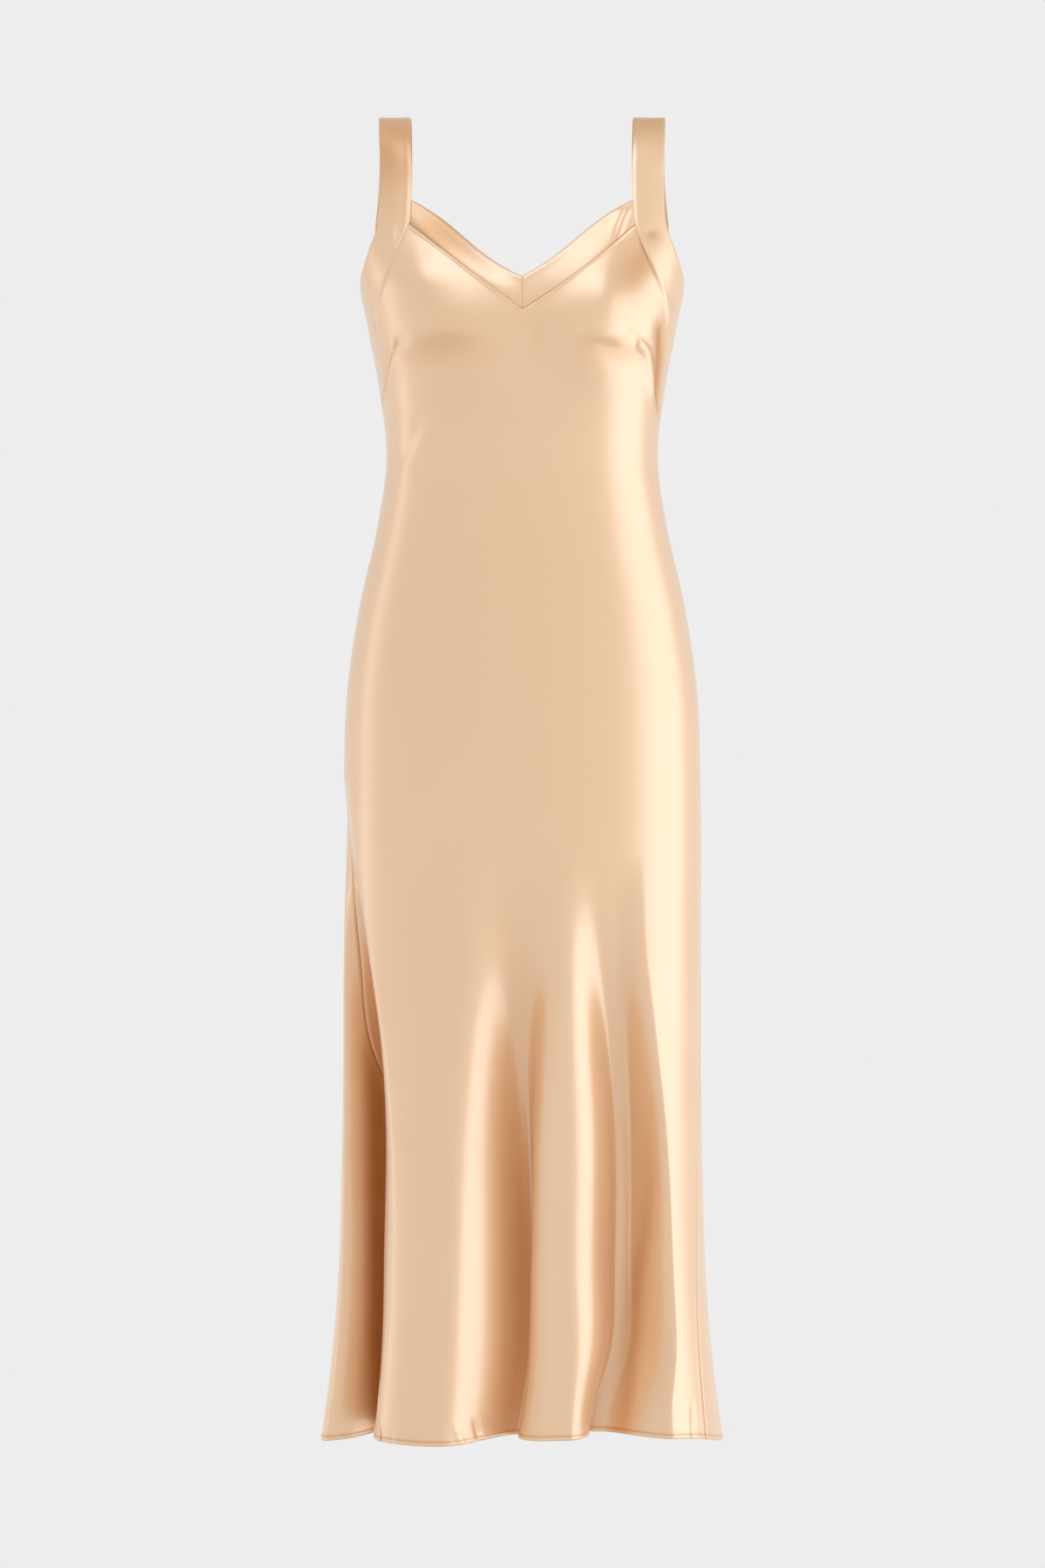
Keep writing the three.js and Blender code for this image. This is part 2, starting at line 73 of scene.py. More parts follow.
def wrapped(degrees: Array) -> Array:
    """Bring an angle between -180 and 180 degrees."""
    return (degrees + 180.0) % 360.0 - 180.0


class SmoothColumn:
    """A smooth curve through one column of a table whose z rises."""

    def __init__(self, z: Sequence[float], values: Sequence[float]) -> None:
        """Store the knots and their slopes.

        Args:
            z: Levels of the knots, rising.
            values: Value at each knot.
        """
        self.z = np.asarray(z, float)
        self.values = np.asarray(values, float)
        self.slopes = np.gradient(self.values, self.z)

    def __call__(self, level: Array) -> Array:
        """Read the curve.

        Args:
            level: Levels to read, held inside the table.

        Returns:
            The value at each level.
        """
        level = np.clip(level, self.z[0], self.z[-1])
        knot = np.clip(np.searchsorted(self.z, level, side="right") - 1, 0, len(self.z) - 2)
        height = self.z[knot + 1] - self.z[knot]
        t = (level - self.z[knot]) / height
        t2, t3 = t * t, t * t * t
        return (
            (2 * t3 - 3 * t2 + 1) * self.values[knot]
            + (t3 - 2 * t2 + t) * height * self.slopes[knot]
            + (3 * t2 - 2 * t3) * self.values[knot + 1]
            + (t3 - t2) * height * self.slopes[knot + 1]
        )


@dataclass(frozen=True)
class Section:
    """One level of the body form."""

    z: float
    half: float
    front: float
    back: float
    square: float


@dataclass(frozen=True)
class FoldRow:
    """One level of a skirt fold: its middle, its reach to both sides, and how the cloth is moved there."""

    z: float
    at: float
    left: float
    right: float
    depth: float
    skew: float
    lip_left: float
    lip_right: float


@dataclass(frozen=True)
class Fold:
    """One skirt fold that grows from its top down to the hem.

    A floor is the share of that side's reach that lies at full depth. A power under 1 makes a crest crisper.
    With a fan of 1 each point moves square to the oval there. With 0 all move square to the fold's middle.
    The shade is how much painted shade the fold's depth lays on its cloth: a darker colour and less coat
    gloss in its hollow.
    """

    name: str
    rows: tuple[FoldRow, ...]
    floor_left: float = 0.0
    floor_right: float = 0.0
    power_left: float = 1.0
    power_right: float = 1.0
    fan: float = 1.0
    shade: float = 0.6


@dataclass(frozen=True)
class SeamLevel:
    """Where the two side seams are at one level."""

    z: float
    left: float
    right: float


@dataclass(frozen=True)
class BandRow:
    """One station of the shoulder-and-armhole band: its seam edge and its free edge."""

    seam: float
    seam_z: float
    edge: float
    edge_z: float


@dataclass(frozen=True)
class Bust:
    """Fullness that the two bust darts give."""

    x: float = 66.0
    z: float = -212.0
    across: float = 40.0
    above: float = 52.0
    below: float = 44.0
    fullness: float = 11.0


@dataclass
class DressForm:
    """The worn surface of the dress, which every piece of cloth lies on."""

    hem: float = -1222.0
    side_drop: float = 18.0
    shoulder_arch: float = 62.0
    # Fold depth at which a fold's painted shade is full.
    full_shade_depth: float = 50.0
    bust: Bust = Bust()
    sections: tuple[Section, ...] = (
        Section(-1240, 188.6, 148, 158, 2.1),
        Section(-1180, 180.6, 140, 152, 2.1),
        Section(-1118, 174.6, 134, 147, 2.1),
        Section(-954, 169.0, 124, 136, 2.1),
        Section(-790, 167.6, 117, 127, 2.1),
        Section(-626, 167.4, 112, 121, 2.1),
        Section(-544, 164.8, 109, 116, 2.1),
        Section(-462, 153.2, 104, 104, 2.15),
        Section(-380, 135.0, 99, 90, 2.2),
        Section(-319, 127.0, 100, 85, 2.3),
        Section(-257, 133.6, 109, 92, 2.4),
        Section(-205, 143.0, 113, 98, 2.5),
        Section(-175, 149.2, 108, 98.5, 2.5),
        Section(-150, 154.6, 101, 98, 2.5),
        Section(-100, 153.0, 82, 91, 2.5),
        Section(-60, 149.0, 66, 80, 2.5),
        Section(0, 147.0, 46, 58, 2.5),
    )
    folds: tuple[Fold, ...] = (
        Fold("left_side", (
            FoldRow(-1240, -63.5, 15.5, 22, 72, -32, 9, 10),
            FoldRow(-1180, -62, 15.5, 20.5, 78, -36, 9, 9),
            FoldRow(-1060, -61.5, 16.5, 20.5, 78, -38, 8, 16),
            FoldRow(-940, -62.5, 18, 19, 73, -35, 4, 10),
            FoldRow(-860, -66, 18, 18, 56, -25, 2, 5),
            FoldRow(-780, -73, 18, 18, 32, -12, 0, 4),
            FoldRow(-700, -81, 18, 18, 11, -3, 0, 0),
            FoldRow(-620, -88, 18, 18, 0, 0, 0, 0),
        ), 0.2, 0.18, fan=0.3, shade=0.7),
        Fold("left_crest", (
            FoldRow(-1240, -29, 24, 22, -14, 0, 0, 0),
            FoldRow(-1060, -29, 24, 22, -11, 0, 0, 0),
            FoldRow(-900, -28, 24, 22, -5, 0, 0, 0),
            FoldRow(-760, -26, 24, 22, 0, 0, 0, 0),
        )),
        Fold("front_dip", (
            FoldRow(-1240, 9, 30, 38, 27, 0, 0, 0),
            FoldRow(-1060, 9, 30, 38, 22, 0, 0, 0),
            FoldRow(-900, 9, 30, 38, 11, 0, 0, 0),
            FoldRow(-720, 9, 30, 38, 0, 0, 0, 0),
        ), shade=0.0),
        Fold("front_left", (
            FoldRow(-1240, -6.5, 15, 11.5, 46, 8, 0, 9),
            FoldRow(-1180, -5.5, 15.5, 12.5, 50, 16, 0, 8),
            FoldRow(-1060, -4.5, 16, 13, 52, 19, 0, 8),
            FoldRow(-940, -4, 16, 13, 44, 15, 0, 5),
            FoldRow(-860, -3, 15.5, 14, 31, 9, 0, 2),
            FoldRow(-780, -1, 16, 15, 15, 2, 0, 0),
            FoldRow(-660, -1, 18, 18, 0, 0, 0, 0),
        ), 0.1, shade=0.35),
        Fold("front_right", (
            FoldRow(-1240, 24.5, 11.5, 23, 46, 2, 8, 0),
            FoldRow(-1200, 27.5, 13.5, 20.5, 50, 8, 7, 0),
            FoldRow(-1150, 35, 20, 17.5, 53, 15, 6, 0),
            FoldRow(-1060, 38, 24, 15.5, 54, 18, 6, 0),
            FoldRow(-940, 37, 23, 14, 44, 14, 5, 0),
            FoldRow(-860, 33.5, 20.5, 13, 30, 8, 2, 0),
            FoldRow(-780, 29, 17, 13, 14, 3, 0, 0),
            FoldRow(-690, 26, 15, 15, 0, 0, 0, 0),
        ), 0.18, 0.16, 1.0, 0.9, shade=0.1),
        Fold("side_right", (
            FoldRow(-1240, 108, 16, 16, 32, 4, 4, 4),
            FoldRow(-1040, 106, 16, 16, 17, 2, 2, 2),
            FoldRow(-830, 104, 16, 16, 0, 0, 0, 0),
        )),
        Fold("back_right", (
            FoldRow(-1240, 143, 17, 17, 50, -5, 6, 6),
            FoldRow(-1000, 142, 17, 17, 30, -3, 3, 3),
            FoldRow(-880, 141, 17, 17, 13, -1, 1, 1),
            FoldRow(-760, 140, 17, 17, 0, 0, 0, 0),
        )),
        Fold("back_centre", (
            FoldRow(-1240, 181, 16, 16, 42, 4, 5, 5),
            FoldRow(-1000, 182, 16, 16, 20, 2, 2, 2),
            FoldRow(-800, 184, 16, 16, 0, 0, 0, 0),
        )),
        Fold("back_left", (
            FoldRow(-1240, 218, 17, 17, 52, 5, 6, 6),
            FoldRow(-1000, 219, 17, 17, 31, 3, 3, 3),
            FoldRow(-870, 220, 17, 17, 14, 1, 1, 1),
            FoldRow(-740, 221, 17, 17, 0, 0, 0, 0),
        )),
        Fold("side_left", (
            FoldRow(-1240, 254, 15, 15, 28, -4, 4, 4),
            FoldRow(-1050, 257, 15, 15, 13, -2, 2, 2),
            FoldRow(-850, 259, 15, 15, 0, 0, 0, 0),
        )),
    )
    seams: tuple[SeamLevel, ...] = (
        SeamLevel(-1240, -38, 64),
        SeamLevel(-1180, -46, 66),
        SeamLevel(-1120, -53.5, 68),
        SeamLevel(-1060, -59.5, 71),
        SeamLevel(-1000, -63.8, 74),
        SeamLevel(-940, -68.5, 77.5),
        SeamLevel(-870, -76, 82),
        SeamLevel(-790, -82.8, 87),
        SeamLevel(-740, -87.3, 88.7),
        SeamLevel(-690, -90, 90),
        SeamLevel(0, -90, 90),
    )

    def __post_init__(self) -> None:
        """Make the smooth columns of the two tables."""
        levels = [row.z for row in self.sections]
        self.half = SmoothColumn(levels, [row.half for row in self.sections])
        self.front = SmoothColumn(levels, [row.front for row in self.sections])
        self.back = SmoothColumn(levels, [row.back for row in self.sections])
        self.square = SmoothColumn(levels, [row.square for row in self.sections])
        seam_levels = [row.z for row in self.seams]
        self.left_seam = SmoothColumn(seam_levels, [row.left for row in self.seams])
        self.right_seam = SmoothColumn(seam_levels, [row.right for row in self.seams])
        self.fold_columns = [self.columns_of(fold) for fold in self.folds]

    @staticmethod
    def columns_of(fold: Fold) -> dict[str, SmoothColumn]:
        """Make the smooth columns of one fold's table.

        Args:
            fold: The fold.

        Returns:
            One curve for each column, by its name.
        """
        names = ("at", "left", "right", "depth", "skew", "lip_left", "lip_right")
        levels = [row.z for row in fold.rows]
        return {name: SmoothColumn(levels, [getattr(row, name) for row in fold.rows]) for name in names}

    def hem_level(self, angle: Array) -> Array:
        """Return the level of the hem at each angle."""
        return self.hem - self.side_drop * np.sin(np.radians(angle)) ** 8

    def reach(self, angle: Array, z: Array) -> Array:
        """Return how far the section reaches sideways at each angle."""
        return self.half(z) * np.sin(np.radians(angle)) ** (2.0 / self.square(z))

    def angle_of(self, reach: Array, z: Array) -> Array:
        """Return the angle from the centre at which the section has this reach."""
        share = np.clip(reach / self.half(z), 0.0, 1.0)
        return np.degrees(np.arcsin(share ** (self.square(z) / 2.0)))

    def oval(self, angle: Array, z: Array) -> tuple[Array, Array]:
        """Give the section of the worn dress before its folds.

        Args:
            angle: Angles round the body.
            z: Levels.

        Returns:
            The x and the y of each point.
        """
        s, c = np.sin(np.radians(angle)), np.cos(np.radians(angle))
        power = 2.0 / self.square(z)
        x = self.half(z) * np.sign(s) * np.abs(s) ** power
        depth = np.where(c > 0, self.front(z), self.back(z))
        y = -depth * np.sign(c) * np.abs(c) ** power
        reach = np.where(z > self.bust.z, self.bust.above, self.bust.below)
        cup = bump((np.abs(x) - self.bust.x) / self.bust.across, 1.0) * bump((z - self.bust.z) / reach, 1.0)
        y = y - np.where(c > 0, self.bust.fullness * cup * np.clip(3 * c, 0, 1), 0.0)
        bend = np.clip((z + self.shoulder_arch) / self.shoulder_arch, 0, 1)
        return x, y * np.sqrt(1 - bend**2.5)

    def tangent(self, angle: Array, z: Array) -> tuple[Array, Array]:
        """Give the unit direction along the oval, towards growing angles.

        Args:
            angle: Angles round the body.
            z: Levels.

        Returns:
            The x and the y of each direction.
        """
        x1, y1 = self.oval(angle - 0.5, z)
        x2, y2 = self.oval(angle + 0.5, z)
        length = np.maximum(np.hypot(x2 - x1, y2 - y1), 1e-9)
        return (x2 - x1) / length, (y2 - y1) / length

    def fold_moves(self, angle: Array, z: Array) -> tuple[Array, Array, Array]:
        """Add up what the folds do to each point.

        Args:
            angle: Angles round the body.
            z: Levels.

        Returns:
            The moves in x and in y, and the painted shade that the folds lay in their hollows at each point.
        """
        x, y, painted_darkening = np.zeros_like(angle), np.zeros_like(angle), np.zeros_like(angle)
        for fold, column in zip(self.folds, self.fold_columns):
            away = wrapped(angle - column["at"](z))
            left = away < 0
            q = np.clip(away / np.where(left, column["left"](z), column["right"](z)), -1.0, 1.0)
            floor = np.where(left, fold.floor_left, fold.floor_right)
            flank = np.clip((np.abs(q) - floor) / (1.0 - floor), 0.0, 1.0)
            bell = 0.5 * (1.0 + np.cos(np.pi * flank))
            well = bell ** np.where(left, fold.power_left, fold.power_right)
            lip = np.sign(q) * np.sin(np.pi * np.abs(q) ** 1.4) ** 2
            lip = lip * np.where(left, column["lip_left"](z), column["lip_right"](z))
            depth = column["depth"](z)
            tx, ty = self.tangent(angle - (1.0 - fold.fan) * away, z)
            along = column["skew"](z) * bell - lip
            x += tx * along - ty * depth * well
            y += ty * along + tx * depth * well
            # Painted shade: the deeper in a fold's hollow, the darker and duller the satin is coloured.
            painted_darkening += fold.shade * np.clip(depth / self.full_shade_depth, 0.0, 1.0) * well**3
        return x, y, np.clip(painted_darkening, 0.0, 1.0)

    def cloth(self, angle: Array, z: Array) -> Array:
        """Give the cloth: the oval, pushed in and sideways by the folds.

        Args:
            angle: Angles round the body.
            z: Levels.

        Returns:
            Points, with x, y and z in the last axis.
        """
        angle, z = np.broadcast_arrays(np.asarray(angle, float), np.asarray(z, float))
        x, y = self.oval(angle, z)
        move_x, move_y, _ = self.fold_moves(angle, z)
        return np.stack([x + move_x, y + move_y, z], -1)

    def facing(self, angle: Array, z: Array) -> Array:
        """Give the outward unit normal of the cloth.

        Args:
            angle: Angles round the body.
            z: Levels.

        Returns:
            One unit vector for each point.
        """
        angle, z = np.broadcast_arrays(np.asarray(angle, float), np.asarray(z, float))
        around = self.cloth(angle + 0.2, z) - self.cloth(angle - 0.2, z)
        up = self.cloth(angle, z + 0.2) - self.cloth(angle, z - 0.2)
        normal = np.cross(around, up)
        normal[z > -0.4] = (0.0, 0.0, 1.0)
        return normal / np.linalg.norm(normal, axis=-1, keepdims=True)


FRONT_BAND = (
    BandRow(90, -211, 90, -172),
    BandRow(78.6, -208.5, 84, -163),
    BandRow(68, -199, 77.5, -155.5),
    BandRow(60.8, -183.5, 72, -149),
    BandRow(54.5, -168.5, 67, -140.5),
    BandRow(48.5, -155.3, 62.6, -128.5),
    BandRow(43.9, -141, 58.8, -116.5),
    BandRow(40, -125, 56.9, -107),
    BandRow(37.77, -110, 56.6, -98),
    BandRow(37.7, -87, 57.4, -84),
)
BACK_BAND = (
    BandRow(90, -211, 90, -172),
    BandRow(79, -207, 85, -166),
    BandRow(69, -197, 80, -159.5),
    BandRow(61, -184, 75.5, -151.5),
    BandRow(54, -170, 71.5, -142.5),
    BandRow(48.5, -156, 68, -132),
    BandRow(44.5, -143, 65.6, -122.5),
    BandRow(42, -131, 64.4, -114),
    BandRow(41.05, -118, 64, -106),
    BandRow(41.2, -92, 64, -90),
)
SHOULDER = BandRow(40.7, 0, 63.4, 0)


class Side(Enum):
    """The two sides of the dress as the photograph shows them; the value is the sign of x."""

    LEFT = -1
    RIGHT = 1


class Face(Enum):
    """The front and the back of the dress."""

    FRONT = "front"
    BACK = "back"


@dataclass(frozen=True)
class NeckLine:
    """The V of one neckline: its seam and its free edge, by the level of their points."""

    point_z: float
    edge_point_z: float
    sag: dict[Side, float]
    edge_sag: float
    edge_sway: float


FRONT_NECK = NeckLine(-193.8, -163.5, {Side.LEFT: 2.0, Side.RIGHT: 6.0}, 0.0, 2.8)
BACK_NECK = NeckLine(-232.0, -204.0, {Side.LEFT: 6.0, Side.RIGHT: 6.0}, 6.0, 0.0)


@dataclass
class SeamLines:
    """The sewing lines that the pieces share, as runs of angle and level."""

    form: DressForm

    def band(self, face: Face) -> tuple[BandRow, ...]:
        """Return the armhole band's table for one face."""
        return FRONT_BAND if face is Face.FRONT else BACK_BAND

    def arm(self, face: Face, share: Array, edge: bool = False) -> tuple[Array, Array]:
        """Follow the armhole from the side seam up to the neck seam.

        Args:
            face: Front or back.
            share: How far along the run, 0 at the side seam.
            edge: True for the free edge, False for the seam.

        Returns:
            Degrees from the centre of that face, and levels.
        """
        rows = self.band(face)[:-1]
        knots = np.linspace(0.0, 1.0, len(rows))
        degrees = SmoothColumn(knots, [r.edge if edge else r.seam for r in rows])
        levels = SmoothColumn(knots, [r.edge_z if edge else r.seam_z for r in rows])
        return degrees(share), levels(share)

    def neck(self, face: Face, side: Side, share: Array, edge: bool = False) -> tuple[Array, Array]:
        """Follow the neckline from the armhole band to the centre.

        Args:
            face: Front or back.
            side: Left or right.
            share: How far along the run, 0 at the armhole band.
            edge: True for the free edge, False for the seam.

        Returns:
            Degrees from the centre of that face, and levels.
        """
        line = FRONT_NECK if face is Face.FRONT else BACK_NECK
        start = self.band(face)[-1 if edge else -2]
        sag = line.edge_sag if edge else line.sag[side]
        sway = line.edge_sway if edge else 0.0
        point = line.edge_point_z if edge else line.point_z
        z = lerp(start.seam_z, point, share)
        z = z - sag * np.sin(np.pi * share) + sway * np.sin(2 * np.pi * share)
        reach = self.form.reach(start.seam, start.seam_z) * (1.0 - share)
        degrees = np.where(share <= 0, start.seam, self.form.angle_of(reach, z))
        return degrees, z


def graded(length: float, step: float, ends: Sequence[float]) -> Array:
    """Space points along a run, close together by both of its ends.

    Args:
        length: Length of the run.
        step: Spacing away from the ends.
        ends: Distances from an end at which points are wanted, rising from 0.

    Returns:
        Distances from the start, rising from 0 to length.
    """
    near = np.asarray(ends, float)
    count = max(1, round((length - 2 * near[-1]) / step))
    middle = np.linspace(near[-1], length - near[-1], count + 1)[1:-1]
    return np.concatenate([near, middle, length - near[::-1]])


@dataclass(frozen=True)
class Cut:
    """The flat size that a piece is cut to, without its sewing allowances, in metres and square metres."""

    width: float
    length: float
    area: float


@dataclass(frozen=True)
class Crease:
    """A soft trough or ridge pressed along a line of the cloth, in angle and level; its shade is painted
    shade along the line.
    """

    name: str
    line: tuple[tuple[float, float], ...]
    width: float
    height: float
    start: float = 0.0
    end: float = 0.0
    shade: float = 0.0

    def weight(self, form: DressForm, points: Array) -> Array:
        """Work out how strongly the crease acts on each point.

        Args:
            form: The worn surface that the line lies on.
            points: Points of the cloth.

        Returns:
            Weights, 1 on the line and 0 away from it.
        """
        degrees, levels = np.array(self.line, float).T
        share = np.linspace(0, 1, 60)
        knots = np.linspace(0, 1, len(degrees))
        run = form.cloth(SmoothColumn(knots, degrees)(share), SmoothColumn(knots, levels)(share))
        low, high = run.min(0) - 4 * self.width, run.max(0) + 4 * self.width
        near = np.all((points > low) & (points < high), axis=-1)
        moved = np.zeros(points.shape[:-1])
        if not near.any():
            return moved
        offset = points[near][:, None, :] - run[None, :, :]
        distance = np.linalg.norm(offset, axis=-1)
        nearest = distance.argmin(1)
        away = distance[np.arange(len(nearest)), nearest]
        along = share[nearest]
        grow = np.minimum(1.0, np.where(self.start > 0, along / max(self.start, 1e-6), 1.0))
        fade = np.minimum(1.0, np.where(self.end > 0, (1 - along) / max(self.end, 1e-6), 1.0))
        moved[near] = bump(away, self.width) * ease(grow) * ease(fade)
        return moved


@dataclass(frozen=True)
class Swell:
    """A soft rise or hollow on the front, round a point seen from the front, as wide and tall as given.

    A lean turns it, in degrees from upright towards +X. Its shade is painted shade round the point.
    """

    name: str
    x: float
    z: float
    wide: float
    tall: float
    height: float
    lean: float = 0.0
    shade: float = 0.0

    def weight(self, form: DressForm, points: Array) -> Array:
        """Work out how strongly the swell acts on each point.

        Args:
            form: The worn surface.
            points: Points of the cloth.

        Returns:
            Weights, 1 at the middle and 0 far from it.
        """
        c, s = np.cos(np.radians(self.lean)), np.sin(np.radians(self.lean))
        x, z = points[..., 0] - self.x, points[..., 2] - self.z
        across, up = (x * c - z * s) / self.wide, (x * s + z * c) / self.tall
        return np.where(points[..., 1] < 20.0, np.exp(-(across**2) - up**2), 0.0)


class ClothPiece:
    """A piece of satin: a grid of points on the form, made a thin shell."""

    CLOTH = 0.45

    def __init__(
        self, name: str, form: DressForm, replaces: str, cut: Cut, creases: Sequence[Crease | Swell]
    ) -> None:
        """Name the piece.

        Args:
            name: Name of the Blender object.
            form: The worn surface.
            replaces: The CAD node that the piece stands for.
            cut: The flat size that the piece is cut to.
            creases: Creases and swells pressed into the piece.
        """
        self.cut = cut
        self.name = name
        self.form = form
        self.replaces = replaces
        self.creases = creases
        self.thickness = self.CLOTH
        # Painted shade along the piece's seams and hem, set by pieces that press them.
        self.seam_shade: Array | float = 0.0

    def grid(self) -> tuple[Array, Array, Array]:
        """Give angles, levels and lifts of the grid, columns first."""
        raise NotImplementedError

    def build(self, finish: "SatinFinish") -> bpy.types.Object:
        """Make the piece's mesh and dress it.

        Args:
            finish: The satin that the piece is made of.

        Returns:
            The finished object.
        """
        angle, z, lift = self.grid()
        plain = self.form.cloth(angle, z)
        # Painted shade from the folds, the seams, and the creases and swells is summed here, beside the
        # creases' real lifts.
        shade = self.form.fold_moves(angle, z)[2] + self.seam_shade
        for crease in self.creases:
            weight = crease.weight(self.form, plain)
            lift = lift + crease.height * weight
            shade = shade + crease.shade * weight
        points = plain + self.form.facing(angle, z) * lift[..., None]
        return self.shell(points, np.clip(shade, 0.0, 1.0), finish)

    def shell(self, points: Array, painted_darkening: Array, finish: "SatinFinish") -> bpy.types.Object:
        """Set a grid primitive onto the points and give it its thickness.

        Args:
            points: Grid of points, columns first.
            painted_darkening: Painted shade at each point, 0 to 1, from folds, creases, swells and seams.
            finish: The satin that the piece is made of.

        Returns:
            The finished object.
        """
        columns, rows = points.shape[:2]
        bpy.ops.object.select_all(action="DESELECT")
        bpy.ops.mesh.primitive_grid_add(x_subdivisions=columns - 1, y_subdivisions=rows - 1, size=1.0)
        obj = bpy.context.active_object
        obj.name = obj.data.name = self.name
        order = points.transpose(1, 0, 2).reshape(-1, 3) * MM
        obj.data.vertices.foreach_set("co", order.ravel())
        self.unroll(obj, points)
        # The painted shade is stored on the points, for the satin to darken and lose gloss by.
        depth = obj.data.attributes.new("painted_shade_map", "FLOAT", "POINT")
        depth.data.foreach_set("value", painted_darkening.T.ravel())
        obj.data.update()
        wall = obj.modifiers.new("cloth thickness", "SOLIDIFY")
        wall.thickness = self.thickness * MM
        wall.offset = 0.0
        bpy.ops.object.modifier_apply(modifier=wall.name)
        bpy.ops.object.shade_smooth()
        finish.dress(obj)
        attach(obj, BODY)
        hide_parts(self.replaces)
        triangles = sum(len(face.vertices) - 2 for face in obj.data.polygons)
        LOG.info("%s: %d triangles", self.name, triangles)
        return obj

    def unroll(self, obj: bpy.types.Object, points: Array) -> None:
        """Lay the UV map flat in metres, so that the weave follows the cloth.

        Args:
            obj: The grid object, before its thickness.
            points: Grid of points, columns first.
        """
        across = np.linalg.norm(np.diff(points, axis=0), axis=-1)
        along = np.linalg.norm(np.diff(points, axis=1), axis=-1)
        zero_column = np.zeros((1, points.shape[1]))
        zero_row = np.zeros((points.shape[0], 1))
        u = np.concatenate([zero_column, np.cumsum(across, axis=0)], axis=0)
        u = u - u.mean(axis=0, keepdims=True)
        v = np.concatenate([zero_row, np.cumsum(along, axis=1)], axis=1)
        flat = np.stack([u, v], -1).transpose(1, 0, 2).reshape(-1, 2) * MM
        layer = obj.data.uv_layers.active or obj.data.uv_layers.new(name="cloth")
        corners = np.empty(len(obj.data.loops), dtype=np.int64)
        obj.data.loops.foreach_get("vertex_index", corners)
        layer.data.foreach_set("uv", flat[corners].ravel())


@dataclass(frozen=True)
class Press:
    """A soft pressed line beside a border: its height, distance from the border and half width, in mm."""

    height: float
    away: float
    width: float

    def lift(self, distance: Array) -> Array:
        """Return the lift at these distances from the border."""
        return self.height * bump(distance - self.away, self.width)


@dataclass(frozen=True)
class PanelSeams:
    """How a panel's borders are pressed, and how much painted shade darkens its seams, its hem stitching and
    its hem edge.
    """

    top_roll: Press = Press(0.7, 2.2, 1.7)
    top_groove: Press = Press(-0.9, 0.0, 1.0)
    side_roll: Press = Press(0.35, 3.0, 2.2)
    side_groove: Press = Press(-0.55, 0.0, 1.3)
    hem_height: float = 4.5
    hem_rise: float = 0.4
    hem_step: float = 0.9
    hem_fold: Press = Press(-0.3, 0.0, 0.5)
    stitches: Press = Press(-0.28, 3.7, 0.5)
    top_shade: Press = Press(0.9, 0.0, 1.3)
    side_shade: Press = Press(0.45, 0.0, 1.1)
    stitch_shade: Press = Press(0.72, 3.7, 0.8)
    edge_shade: Press = Press(0.36, 0.0, 0.6)


